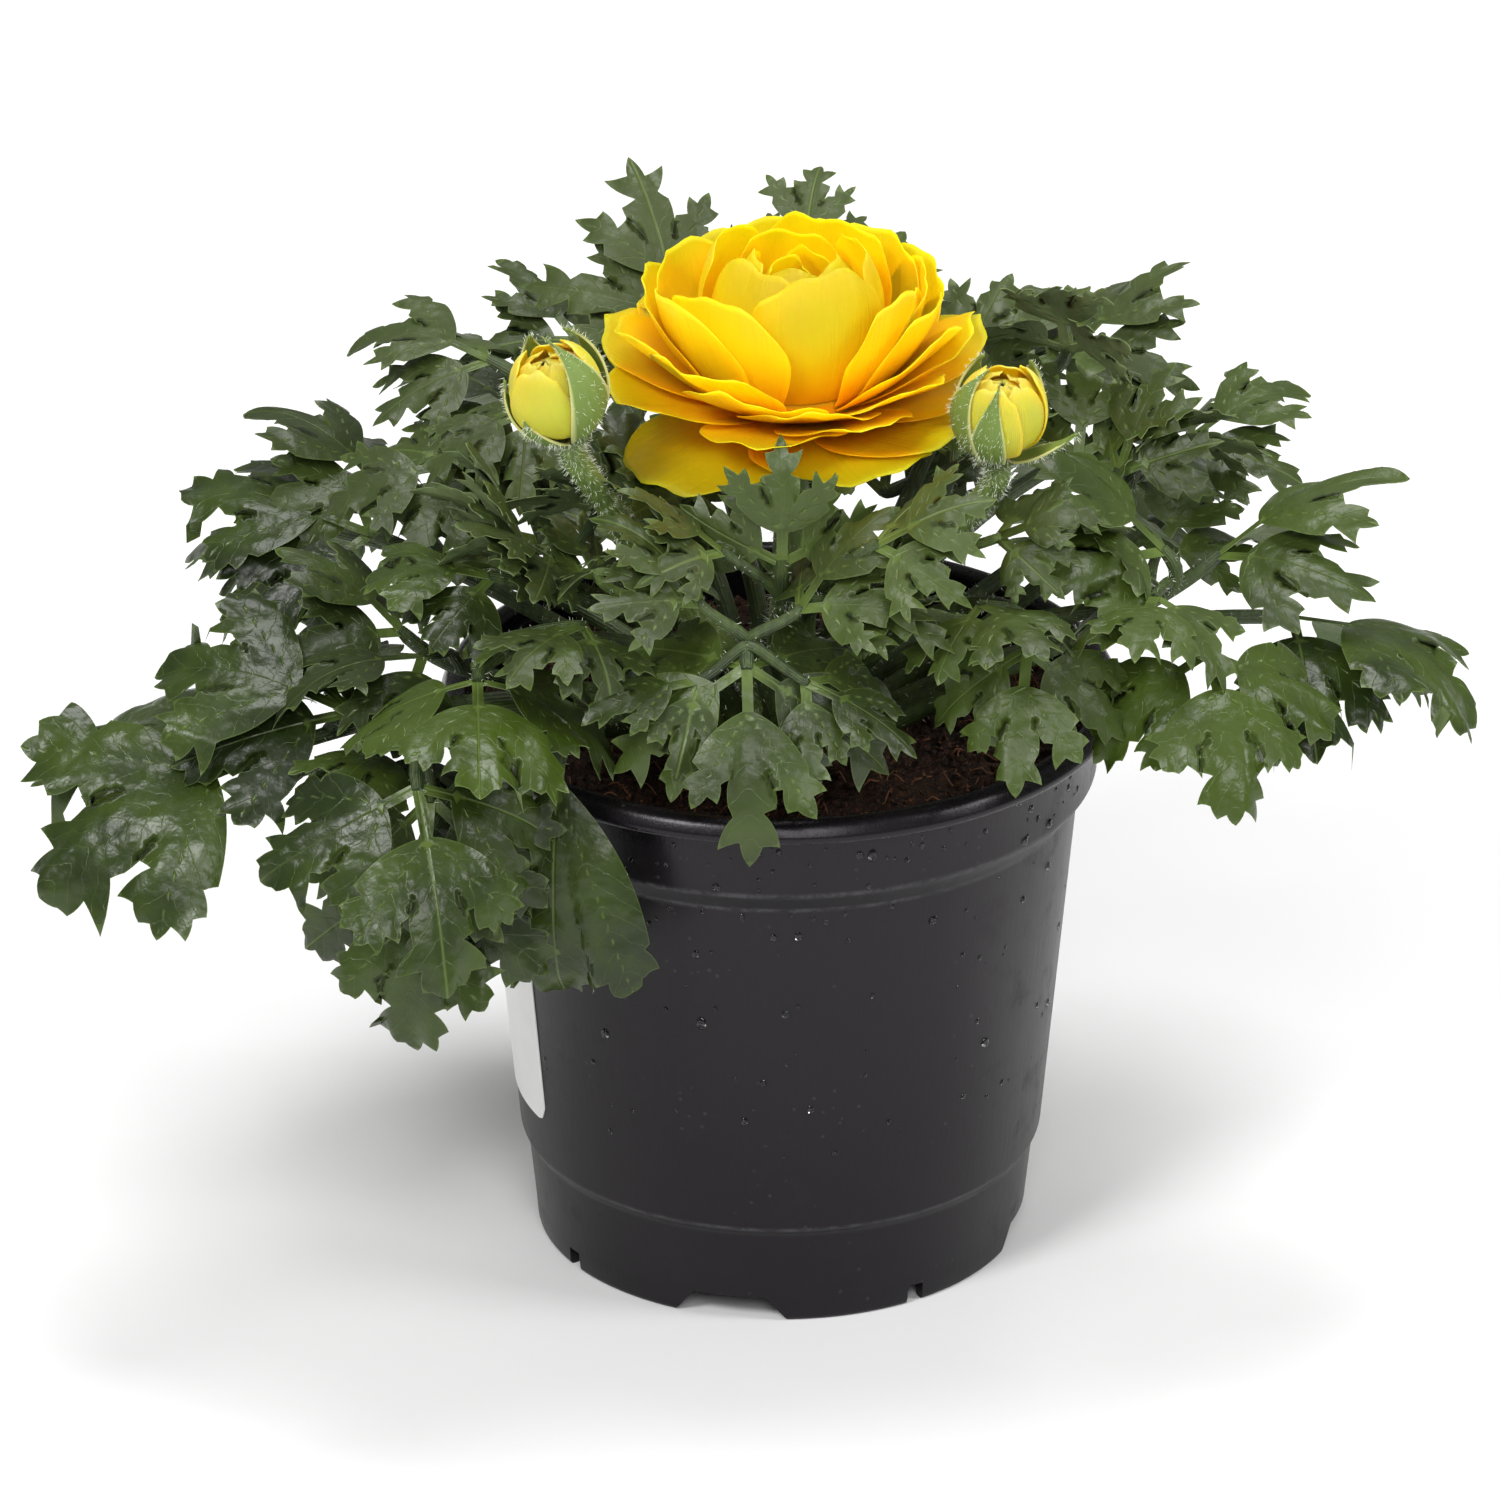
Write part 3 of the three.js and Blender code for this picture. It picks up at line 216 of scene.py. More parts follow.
def smooth_path(points, steps):
    """Points along a smooth curve through the given points."""
    points = np.asarray(points, float)
    padded = np.vstack([2 * points[0] - points[1], points, 2 * points[-1] - points[-2]])
    path = []
    for before, here, after, beyond in zip(padded, padded[1:], padded[2:], padded[3:]):
        square = 2 * before - 5 * here + 4 * after - beyond
        cube = 3 * here - before - 3 * after + beyond
        for t in np.linspace(0, 1, steps, endpoint=False):
            path.append(here + 0.5 * ((after - before) * t + square * t**2 + cube * t**3))
    return np.array([*path, points[-1]])


# Meshes

def in_scene(name, data):
    thing = bpy.data.objects.new(name, data)
    bpy.context.scene.collection.objects.link(thing)
    return thing


class Shape:
    """Points and faces gathered for one mesh, with values at the points and a slot for each face."""

    def __init__(self):
        self.points = []
        self.faces = []
        self.slots = []
        self.marks = {}
        self.count = 0

    def add(self, points, faces, slots=0, **marks):
        points = np.asarray(points, float)
        self.points.append(points)
        self.faces.extend(tuple(int(corner) + self.count for corner in face) for face in faces)
        self.slots.extend(np.broadcast_to(slots, len(faces)).tolist())
        for name, values in marks.items():
            values = np.broadcast_to(np.asarray(values, float), (len(points), 3))
            self.marks.setdefault(name, []).append((self.count, values))
        self.count += len(points)

    def build(self, name, materials, replaces=()):
        """The piece in the scene, with its body, its slot and the CAD nodes it replaces."""
        mesh = bpy.data.meshes.new(name)
        mesh.from_pydata((np.vstack(self.points) * MM).tolist(), [], self.faces)
        for mark, parts in self.marks.items():
            values = np.zeros((self.count, 3), np.float32)
            for start, part in parts:
                values[start : start + len(part)] = part
            mesh.attributes.new(mark, "FLOAT_VECTOR", "POINT").data.foreach_set("vector", values.ravel())
        for material in materials:
            mesh.materials.append(material)
        mesh.polygons.foreach_set("material_index", self.slots)
        mesh.update()
        piece = in_scene(name, mesh)
        smooth(piece)
        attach(piece, "root")
        if replaces:
            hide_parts(*replaces)
        return piece


def smooth(piece, sharp_edge=None):
    """Smooth faces, with sharp edges where they turn by more than an angle in degrees."""
    piece.data.polygons.foreach_set("use_smooth", [True] * len(piece.data.polygons))
    if sharp_edge:
        piece.data.set_sharp_from_angle(angle=sharp_edge * DEGREE)


def sheet(shape, top, normals, thickness, faces, rim, slots=(0, 0), **marks):
    """A thin plate: its top and under faces and the wall round its rim."""
    count = len(top)
    under = top - normals * np.asarray(thickness).reshape(-1, 1)
    rest = [tuple(corner + count for corner in reversed(face)) for face in faces]
    rest += [(here, here + count, after + count, after) for here, after in zip(rim, rim[1:] + rim[:1])]
    doubled = {name: np.vstack([values, values]) for name, values in marks.items()}
    slot_of = [slots[0]] * len(faces) + [slots[1]] * len(rest)
    shape.add(np.vstack([top, under]), [*faces, *rest], slot_of, **doubled)


def grid(columns, rows):
    """Places across a grid from -1 to 1 and along it from 0 to 1, row after row, its faces and rim."""
    across, along = np.meshgrid(np.linspace(-1, 1, columns + 1), np.linspace(0, 1, rows + 1))
    at = np.arange(across.size).reshape(across.shape)
    faces = np.stack([at[:-1, :-1], at[:-1, 1:], at[1:, 1:], at[1:, :-1]], axis=-1).reshape(-1, 4).tolist()
    rim = [*at[0, :-1], *at[:-1, -1], *at[-1, :0:-1], *at[:0:-1, 0]]
    return across.ravel(), along.ravel(), faces, rim


def ring_faces(rings, sides):
    """Faces between rings of points that have the same number of sides."""
    faces = []
    for first in range(0, (rings - 1) * sides, sides):
        for side in range(sides):
            a, b = first + side, first + (side + 1) % sides
            faces.append((a, b, b + sides, a + sides))
    return faces


def fan(first, sides, tip):
    """Faces from a ring of points to one tip."""
    return [(first + side, first + (side + 1) % sides, tip) for side in range(sides)]


def closed_faces(rings, sides):
    """Faces between rings, and from the first and last ring to the two points after them."""
    start = [tuple(reversed(face)) for face in fan(0, sides, rings * sides)]
    return ring_faces(rings, sides) + start + fan((rings - 1) * sides, sides, rings * sides + 1)


def tube(shape, path, radii, sides, slot=0, ridge=0.0):
    """A round tube with five ridges, closed at both ends: its points and their normals."""
    path = np.asarray(path, float)
    angles = full_turn(sides)
    circle = around(angles)[:, :2] * (1 + ridge * np.cos(5 * angles))[:, None]
    tangents = unit(np.gradient(path, axis=0))
    across = np.cross(tangents[0], (0.3, 0.9, 0.2))
    rings = []
    for centre, tangent, radius in zip(path, tangents, radii):
        across = unit(across - tangent * np.dot(across, tangent))
        rings.append(centre + radius * circle @ np.array([across, np.cross(tangent, across)]))
    points = np.vstack(rings)
    turns = np.zeros((len(points) + 2, 3))
    turns[:-2, 0] = np.tile(angles, len(path))
    shape.add(np.vstack([points, path[0], path[-1]]), closed_faces(len(path), sides), slot, turn=turns)
    return points, unit(points - np.repeat(path, sides, axis=0))


def hairs(shape, points, normals, count, length, seed, lean=(0, 0, 0)):
    """Fine hairs standing on a surface, each a bent blade."""
    draw = np.random.default_rng(seed)
    chosen = draw.integers(0, len(points), count)
    normal = normals[chosen]
    jitter = draw.normal(0, HAIR_SCATTER, (count, 3))
    root = points[chosen] + jitter - normal * (np.sum(jitter * normal, axis=1, keepdims=True) + HAIR_ROOT)
    direction = unit(normal + draw.normal(0, HAIR_SCATTER, (count, 3)) + lean)
    reach = length * draw.uniform(0.55, 1.15, (count, 1))
    side = unit(np.cross(direction, draw.normal(0, 1, (count, 3)))) * HAIR_WIDTH / 2
    bend = unit(direction + draw.normal(0, HAIR_SCATTER, (count, 3)))
    middle = root + direction * reach / 2
    corners = [root - side, root + side, middle + side * 0.7, middle - side * 0.7, middle + bend * reach / 2]
    first = 5 * np.arange(count)[:, None]
    shape.add(np.stack(corners, axis=1).reshape(-1, 3), [*(first + (0, 1, 2, 3)), *(first + (3, 2, 4))], HAIR)


# Materials

class Value:
    """One output of a node, with arithmetic that adds nodes to its look."""

    def __init__(self, look, socket):
        self.look = look
        self.socket = socket

    def __add__(self, other):
        return self.look.math("ADD", self, other)

    def __sub__(self, other):
        return self.look.math("SUBTRACT", self, other)

    def __mul__(self, other):
        return self.look.math("MULTIPLY", self, other)

    def between(self, low, high):
        """0 below low, 1 above high and smooth between, or the other way round."""
        first, last = (0.0, 1.0) if low < high else (1.0, 0.0)
        span = {"From Min": min(low, high), "From Max": max(low, high), "To Min": first, "To Max": last}
        return self.look.node("ShaderNodeMapRange", {"Value": self, **span}, interpolation_type="SMOOTHSTEP")


class Look:
    """A procedural material round one Principled shader."""

    def __init__(self, name, **values):
        self.material = bpy.data.materials.new(name)
        self.material.use_nodes = True
        self.tree = self.material.node_tree
        self.tree.nodes.clear()
        self.surface = self.tree.nodes.new("ShaderNodeBsdfPrincipled")
        self.node("ShaderNodeOutputMaterial", {"Surface": Value(self, self.surface.outputs[0])}, None)
        for socket, value in values.items():
            self.surface.inputs[socket.replace("_", " ")].default_value = value

    def node(self, kind, sources, output=0, **settings):
        """A new node with its settings and what feeds its inputs: one of its outputs."""
        node = self.tree.nodes.new(kind)
        for name, value in settings.items():
            setattr(node, name, value)
        for name, source in sources.items():
            self.link(source, node.inputs[name])
        return None if output is None else Value(self, node.outputs[output])

    def link(self, source, socket):
        if isinstance(source, Value):
            self.tree.links.new(source.socket, socket)
        elif isinstance(source, tuple) and socket.type == "RGBA":
            socket.default_value = (*source, 1)
        else:
            socket.default_value = source

    def done(self, colour=None, roughness=None, relief=None, depth=0.0):
        """The material with what is given, its relief standing a depth in millimetres."""
        bump = relief and self.node("ShaderNodeBump", {"Height": relief, "Distance": depth * MM})
        for name, source in (("Base Color", colour), ("Roughness", roughness), ("Normal", bump)):
            if source:
                self.link(source, self.surface.inputs[name])
        return self.material

    def parts(self, vector):
        split = self.node("ShaderNodeSeparateXYZ", {0: vector}).socket.node
        return [Value(self, output) for output in split.outputs]

    def attribute(self, name):
        """The three parts of a value kept at the mesh's points."""
        return self.parts(self.node("ShaderNodeAttribute", {}, "Vector", attribute_name=name))

    def position(self, stretch=(1, 1, 1)):
        """The place on the object in millimetres, stretched."""
        place = self.node("ShaderNodeTexCoord", {}, "Object")
        scale = tuple(part / MM for part in stretch)
        return self.node("ShaderNodeVectorMath", {0: place, 1: scale}, operation="MULTIPLY")

    def math(self, operation, *sources, clamp=False):
        return self.node("ShaderNodeMath", dict(enumerate(sources)), operation=operation, use_clamp=clamp)

    def noise(self, scale, detail=3, roughness=0.5, at=None):
        """Noise over the object, or at another place."""
        sources = {"Vector": at or self.position(), "Scale": scale, "Detail": detail, "Roughness": roughness}
        return self.node("ShaderNodeTexNoise", sources)

    def cells(self, scale):
        return self.node("ShaderNodeTexVoronoi", {"Vector": self.position(), "Scale": scale}, "Distance")

    def streaks(self, across_scale, along_scale, detail):
        """A petal's places across and along it, and noise drawn out along it."""
        across, along, number = self.attribute("petal_place")
        sources = {0: across * across_scale, 1: along * along_scale, 2: number}
        return across, along, self.noise(1.0, detail, 0.6, self.node("ShaderNodeCombineXYZ", sources))

    def mix(self, share, first, second):
        return self.node("ShaderNodeMix", {0: share, 6: first, 7: second}, 2, data_type="RGBA")


def leaf_look(name, deep, fresh, vein, pale, roughness):
    """A blade: smooth and glossy, its colour in soft patches between two greens, darker on low leaves as
    painted shade, with pale thin ribs.
    """
    look = Look(name, Specular_IOR_Level=0.36)
    from_rib, along, edge = look.attribute("vein_place")
    tone, paleness, from_hub = look.attribute("tone")
    slanted = along - from_rib * 1.15 + look.noise(0.3, 2) * 3.2
    side_vein = look.math("PINGPONG", slanted, 2.1).between(0.2, 0.02)
    veins = look.math("MAXIMUM", from_rib.between(0.42, 0.06), side_vein * 0.3)
    # The first part of the leaf's mark darkens low leaves: painted shade under the leaves above.
    patches_and_shade = (look.noise(0.075, 3, 0.55) + tone * 0.5).between(0.42, 1.05)
    colour = look.mix(paleness * 0.8, look.mix(patches_and_shade, deep, fresh), pale)
    for share in (veins * 0.5, edge.between(0.22, 0.04) * 0.3, from_hub.between(7.0, 1.0) * 0.6):
        colour = look.mix(share, colour, vein)
    rough = look.noise(0.16, 3, 0.6) * 0.3 + paleness * 0.16 + (roughness - 0.12)
    relief = look.noise(0.13, 2) * 3.2 + look.noise(0.5, 2) * 0.55 - veins * 0.35
    return look.done(colour, rough, relief, 0.38)


def stem_look(name, colour, shade):
    look = Look(name, Subsurface_Weight=0.15, Subsurface_Scale=MM, Subsurface_Radius=(0.8, 1.2, 0.4))
    turn, _, _ = look.attribute("turn")
    streak = look.noise(0.9, at=look.position((1, 1, 0.12)))
    share = (streak + look.noise(0.08)).between(0.75, 1.25)
    relief = look.math("SINE", turn * 16.0) * 0.25 + look.noise(1.6, 2)
    return look.done(look.mix(share, shade, colour), streak * 0.25 + 0.38, relief, 0.16)


def plain_look(name, roughness, scale, detail, first, second):
    """Two near colours in soft patches."""
    look = Look(name, Roughness=roughness)
    return look.done(look.mix(look.noise(scale, detail), first, second))


def petal_look(name, body, depth, tip):
    """A petal: silky, veined along its length, deeper towards its base and in the outer layers."""
    look = Look(name, Subsurface_Weight=0.75, Subsurface_Scale=MM, Subsurface_Radius=(5.0, 2.2, 0.1),
                Specular_IOR_Level=0.22)
    _, along, streak = look.streaks(22.0, 1.4, 4)
    layer, _, _ = look.attribute("petal_layer")
    share = streak * 0.2 + along.between(0.7, 0.1) * 0.6 + layer * 0.7
    share = look.math("ADD", share - 0.3, look.noise(0.07) * 0.3, clamp=True)
    colour = look.mix(along.between(0.88, 1.0) * 0.4, look.mix(share, body, depth), tip)
    return look.done(colour, streak * 0.2 + 0.42, streak + look.noise(0.5, 2) * 0.5, 0.16)


def sepal_look(name, green, pale):
    look = Look(name, Subsurface_Weight=0.25, Subsurface_Scale=MM, Subsurface_Radius=(1.2, 1.6, 0.5))
    across, _, streak = look.streaks(9.0, 1.5, 3)
    border = look.math("ABSOLUTE", across).between(0.72, 1.0)
    share = (border * 0.7 + streak * 0.42).between(0.15, 0.95)
    return look.done(look.mix(share, green, pale), streak * 0.2 + 0.45, streak, 0.2)


def pot_look():
    """Black moulded plastic: satin, its edge lines lighter as painted highlights with some scuffing, with
    dust and dried splashes of water.
    """
    look = Look("pot_plastic", Specular_IOR_Level=0.27, Specular_Tint=(1.0, 0.95, 1.0, 1.0))
    height = look.parts(look.position())[2]
    scratch = look.noise(1.4, 3, 0.6, look.position((1, 1, 0.06)))
    # Bands along the lip, collar, shoulder and groove edges, broken by noise: painted highlights with some
    # scuffing.
    scuff_and_highlight = 0.0
    for level in (LIP_BOTTOM, COLLAR_BOTTOM, SHOULDER_HEIGHT, GROOVE_HEIGHT):
        reach = 0.9 if level == COLLAR_BOTTOM else 0.7
        scuff_and_highlight = look.math("MAXIMUM", look.math("ABSOLUTE", height - level).between(reach, 0.1), scuff_and_highlight)
    scuff_and_highlight = scuff_and_highlight * look.noise(0.5, 4, 0.7).between(0.35, 0.7)
    dust = look.noise(0.12, 5, 0.7).between(0.5, 0.75)
    splash = look.cells(0.35).between(0.16, 0.08) * look.noise(0.07, 2).between(0.5, 0.62)
    colour = look.mix(dust * 0.35, (0.0055, 0.0046, 0.0056), (0.012, 0.0105, 0.0122))
    # The edge bands are lightened: painted highlights along the edges, partly scuffing.
    colour = look.mix(scuff_and_highlight * 0.55, colour, (0.085, 0.083, 0.088))
    colour = look.mix(splash * 0.25, colour, (0.07, 0.068, 0.066))
    collar = height.between(COLLAR_BOTTOM, POT_HEIGHT - 5)
    rough = dust * 0.14 + scratch * 0.12 - collar * 0.1 + scuff_and_highlight * 0.2 + 0.3
    return look.done(colour, rough, look.noise(3.0, 3, 0.6) * 0.5 + scratch * 0.4, 0.05)


def label_look():
    look = Look("label", Roughness=0.42)
    colour = look.mix(look.noise(0.15, 4), (0.78, 0.775, 0.76), (0.86, 0.86, 0.85))
    return look.done(colour, relief=look.noise(0.8), depth=0.06)


def soil_look():
    """Dark peat with brown crumbs and paler specks."""
    look = Look("soil", Specular_IOR_Level=0.3)
    crumbs = look.noise(0.55, 5, 0.7)
    specks = look.noise(1.9, 3, 0.6)
    colour = look.mix(crumbs.between(0.38, 0.68), (0.006, 0.004, 0.003), (0.045, 0.018, 0.009))
    colour = look.mix(specks.between(0.54, 0.7), colour, (0.15, 0.062, 0.027))
    return look.done(colour, specks * 0.3 + 0.68, crumbs + specks * 0.5, 0.9)


def tuber_look():
    look = Look("rootstock", Specular_IOR_Level=0.3)
    bark = look.noise(0.5, 5, 0.7, look.position((1, 1, 0.3)))
    colour = look.mix(bark.between(0.35, 0.7), (0.03, 0.018, 0.01), (0.17, 0.1, 0.05))
    return look.done(colour, bark * 0.2 + 0.7, bark, 0.8)


def water_look():
    look = Look("water_drop", Roughness=0.03, IOR=1.33, Transmission_Weight=1.0)
    return look.done(relief=look.noise(0.8, 1), depth=0.03)


# Pot

def filleted(profile, radius, steps=5):
    """The profile with each corner between its two ends rounded off."""
    points = [np.array(point, float) for point in profile]
    rounded = [points[0]]
    for before, corner, after in zip(points, points[1:], points[2:]):
        back, on = before - corner, after - corner
        reach = min(radius, np.linalg.norm(back) * 0.45, np.linalg.norm(on) * 0.45)
        start, end = corner + unit(back) * reach, corner + unit(on) * reach
        for t in np.linspace(0, 1, steps):
            rounded.append((1 - t) ** 2 * start + 2 * t * (1 - t) * corner + t**2 * end)
    return np.array([*rounded, points[-1]])


def lathe(shape, profile, sides, slot=0):
    """A body turned about Z; the profile starts and ends on the axis."""
    circle = around(full_turn(sides))
    rings = [radius * circle + (0, 0, height) for radius, height in profile[1:-1]]
    ends = [(0, 0, profile[0][1]), (0, 0, profile[-1][1])]
    shape.add(np.vstack([*rings, *ends]), closed_faces(len(rings), sides), slot)


def cutter(outline, depth, matrix):
    """A cutting block: an outline in X and Z, drawn out along -Y and set in place."""
    count = len(outline)
    points = [(x * MM, -near * MM, z * MM) for near in (0, depth) for x, z in outline]
    mesh = bpy.data.meshes.new("cutter")
    ends = [tuple(reversed(range(count))), tuple(range(count, 2 * count))]
    mesh.from_pydata(points, [], ends + ring_faces(2, count))
    mesh.transform(matrix)
    return in_scene("cutter", mesh)


def pot_cutters():
    """Blocks for the arches in the foot and the drain holes in the floor."""
    cutters = []
    for first, below, above, height in ARCHES:
        outline = [(-below / 2, -1), (below / 2, -1), (above / 2, height), (-above / 2, height)]
        for index in range(ARCH_COUNT):
            turn = Matrix.Rotation((first + index * 360 / ARCH_COUNT) * DEGREE, 4, "Z")
            cutters.append(cutter(outline, ARCH_CUT, turn @ Matrix.Translation((0, -ARCH_START * MM, 0))))
    circle = DRAIN_RADIUS * around(full_turn(32))[:, :2]
    upright = Matrix.Rotation(math.pi / 2, 4, "X")
    for index in range(DRAIN_COUNT):
        place = from_front(index * 360 / DRAIN_COUNT) * DRAIN_CIRCLE + (0, 0, FOOT_HEIGHT + 5)
        cutters.append(cutter(circle, DRAIN_CUT, Matrix.Translation(place * MM) @ upright))
    return cutters


def cut(piece, cutters):
    """Takes the cutters' room out of a piece."""
    for tool in cutters:
        modifier = piece.modifiers.new("cut", "BOOLEAN")
        modifier.operation = "DIFFERENCE"
        modifier.solver = "EXACT"
        modifier.object = tool
    graph = bpy.context.evaluated_depsgraph_get()
    result = bpy.data.meshes.new_from_object(piece.evaluated_get(graph))
    piece.modifiers.clear()
    piece.data = result
    for tool in cutters:
        bpy.data.objects.remove(tool)


def pot(look):
    lip, floor = POT_LIP_RADIUS, FOOT_HEIGHT + FLOOR_THICKNESS
    profile = [
        (0, 0), (CENTRE_PAD_RADIUS, 0), (CENTRE_PAD_RADIUS + 1, FOOT_HEIGHT),
        (FOOT_RADIUS - FOOT_THICKNESS, FOOT_HEIGHT), (FOOT_RADIUS - FOOT_THICKNESS, 0),
        (FOOT_RADIUS, 0), (FOOT_RADIUS + FOOT_LEAN, FOOT_HEIGHT),
        (GROOVE_RADIUS - 1.2, GROOVE_HEIGHT - 1.4), (GROOVE_RADIUS, GROOVE_HEIGHT),
        (SHOULDER_RADIUS, SHOULDER_HEIGHT), (COLLAR_RADIUS, COLLAR_BOTTOM),
        (COLLAR_RADIUS + COLLAR_LEAN, COLLAR_TOP), (lip - 0.5, LIP_BOTTOM),
        (lip, POT_HEIGHT - 3), (lip - 1.2, POT_HEIGHT - 0.8), (lip - 3, POT_HEIGHT),
        (lip - 4.8, POT_HEIGHT - 1), (COLLAR_RADIUS - POT_WALL, COLLAR_BOTTOM),
        (SHOULDER_RADIUS - POT_WALL, SHOULDER_HEIGHT),
        (FOOT_RADIUS + FOOT_LEAN - POT_WALL, floor), (0, floor),
    ]
    shape = Shape()
    lathe(shape, filleted(profile, POT_FILLET), LATHE_SIDES)
    piece = shape.build("pot_shell", [look], ["pot"])
    cut(piece, pot_cutters())
    smooth(piece, POT_SHARP_EDGE)


def wall_radius(height):
    """The pot's outer radius at a height on its plain wall or its collar."""
    heights = (GROOVE_HEIGHT, SHOULDER_HEIGHT, COLLAR_BOTTOM, COLLAR_TOP)
    radii = (GROOVE_RADIUS, SHOULDER_RADIUS, COLLAR_RADIUS, COLLAR_RADIUS + COLLAR_LEAN)
    return np.interp(height, heights, radii)


def label(look):
    """A bare paper label with rounded corners."""
    across, along, faces, rim = grid(36, 24)
    half_width = LABEL_HALF_ANGLE * DEGREE * wall_radius(LABEL_MIDDLE)
    side = np.maximum(np.abs(across) * half_width - (half_width - LABEL_CORNER), 0)
    inset = LABEL_CORNER - np.sqrt(np.maximum(LABEL_CORNER**2 - side**2, 0))
    height = LABEL_MIDDLE + (2 * along - 1) * (LABEL_HALF_HEIGHT - inset)
    outward = around((LABEL_ANGLE + across * LABEL_HALF_ANGLE) * DEGREE)
    top = outward * (wall_radius(height) + LABEL_LIFT)[:, None]
    top[:, 2] = height
    shape = Shape()
    sheet(shape, top, outward, LABEL_THICKNESS, faces, rim)
    smooth(shape.build("pot_label", [look], ["sticker"]), 40)


# Soil

def soil_height(x, y):
    height = SOIL_TOP - SOIL_DIP * np.clip((POT_LIP_RADIUS - 6 - np.hypot(x, y)) / 36, 0, 1)
    height = height + 0.6 * np.sin(0.31 * x + 1.3) * np.cos(0.27 * y - 0.4)
    height = height + 0.5 * np.sin(0.83 * x - 0.7 * y) * np.cos(0.61 * y + 0.9 * x + 2)
    height = height + 0.45 * np.sin(1.9 * x + 0.4) * np.sin(1.7 * y + 1.1)
    return height + 0.3 * np.sin(3.1 * x + 1.2 * y) * np.cos(2.9 * y - 0.8 * x)


def on_soil(spots, lift=0.0):
    """Level places set down on the soil, or at a height above it."""
    spots = np.array(spots, float)
    spots[..., 2] = soil_height(spots[..., 0], spots[..., 1]) + lift
    return spots


def spot_on_soil(draw, low, high):
    """A random level place, between two shares of the soil's area."""
    angle, share = draw.uniform(0, 2 * math.pi), draw.uniform(low, high)
    return around(angle) * SOIL_RIM * math.sqrt(share)


def crumb(centre, size, draw):
    """A small lump of 20 faces with an uneven surface: points and faces."""
    t = (1 + math.sqrt(5)) / 2
    corners = [(-1, t, 0), (1, t, 0), (-1, -t, 0), (1, -t, 0), (0, -1, t), (0, 1, t)]
    corners += [(0, -1, -t), (0, 1, -t), (t, 0, -1), (t, 0, 1), (-t, 0, -1), (-t, 0, 1)]
    faces = [(0, 11, 5), (0, 5, 1), (0, 1, 7), (0, 7, 10), (0, 10, 11), (1, 5, 9), (5, 11, 4)]
    faces += [(11, 10, 2), (10, 7, 6), (7, 1, 8), (3, 9, 4), (3, 4, 2), (3, 2, 6), (3, 6, 8)]
    faces += [(3, 8, 9), (4, 9, 5), (2, 4, 11), (6, 2, 10), (8, 6, 7), (9, 8, 1)]
    stretch = draw.uniform(0.6, 1.3, 3) * (1, 1, 0.7)
    return centre + unit(corners) * size * stretch * draw.uniform(0.75, 1.2, (12, 1)), faces


def soil(soil_material, fibre_material):
    shape = Shape()
    rings, sides = SOIL_GRID
    circle = around(full_turn(sides))
    surface = np.vstack([radius * circle for radius in np.linspace(SOIL_RIM, SOIL_HEART, rings)])
    shape.add(on_soil(surface), ring_faces(rings, sides))
    draw = np.random.default_rng(7)
    for _ in range(CRUMB_COUNT):
        spot = spot_on_soil(draw, 0.08, 0.96)
        size = draw.uniform(*CRUMB_SIZE)
        shape.add(*crumb(on_soil(spot, size * 0.25), size, draw))
    for _ in range(FIBRE_COUNT):
        spot = spot_on_soil(draw, 0.1, 0.93)
        heading, turn = draw.uniform(0, 2 * math.pi), draw.uniform(-0.35, 0.35)
        path = []
        for step in range(FIBRE_STEPS):
            path.append(on_soil(spot, 0.5 + 0.7 * math.sin(step * 0.9 + heading)))
            spot = spot + draw.uniform(0.6, 1.3) * around(heading)
            heading += turn
            if np.linalg.norm(spot) > SOIL_RIM - 1:
                break
        if len(path) > 2:
            tube(shape, path, np.linspace(*FIBRE_RADIUS, len(path)), 4, 1)
    shape.build("soil_surface", [soil_material, fibre_material], ["soil"])


def rootstock(look):
    """The crown of the rootstock, with the dry bases of old stalks on it."""
    shape = Shape()
    top, radius = ROOTSTOCK_TOP, ROOTSTOCK_RADIUS
    profile = [(0, top - 12), (9, top - 10), (radius - 1.5, top - 4), (radius, top - 1.5)]
    profile += [(radius - 0.5, top), (0, top)]
    lathe(shape, filleted(profile, 1.5), 64)
    points = shape.points[0]
    x, y, z = points.T
    lump = np.sin(0.9 * x) * np.sin(0.8 * y + 1) + 0.5 * np.sin(2.1 * x + y)
    points[:, 2] += 0.35 * lump * (z > top - 2)
    draw = np.random.default_rng(11)
    for index in range(OLD_STALK_COUNT):
        outward = around(index * GOLDEN_ANGLE * DEGREE)
        root = outward * (4 + 13 * math.sqrt(index / OLD_STALK_COUNT)) + (0, 0, top - 0.5)
        tip = root + (outward + (0, 0, 0.8)) * draw.uniform(2, 5)
        path = bezier([root, root + (0, 0, 2), tip, tip + (0, 0, 1)], 6)
        tube(shape, path, np.linspace(1.2, 0.3, len(path)), 7)
    shape.build("rootstock_crown", [look], ["rootstock"])


# Leaves

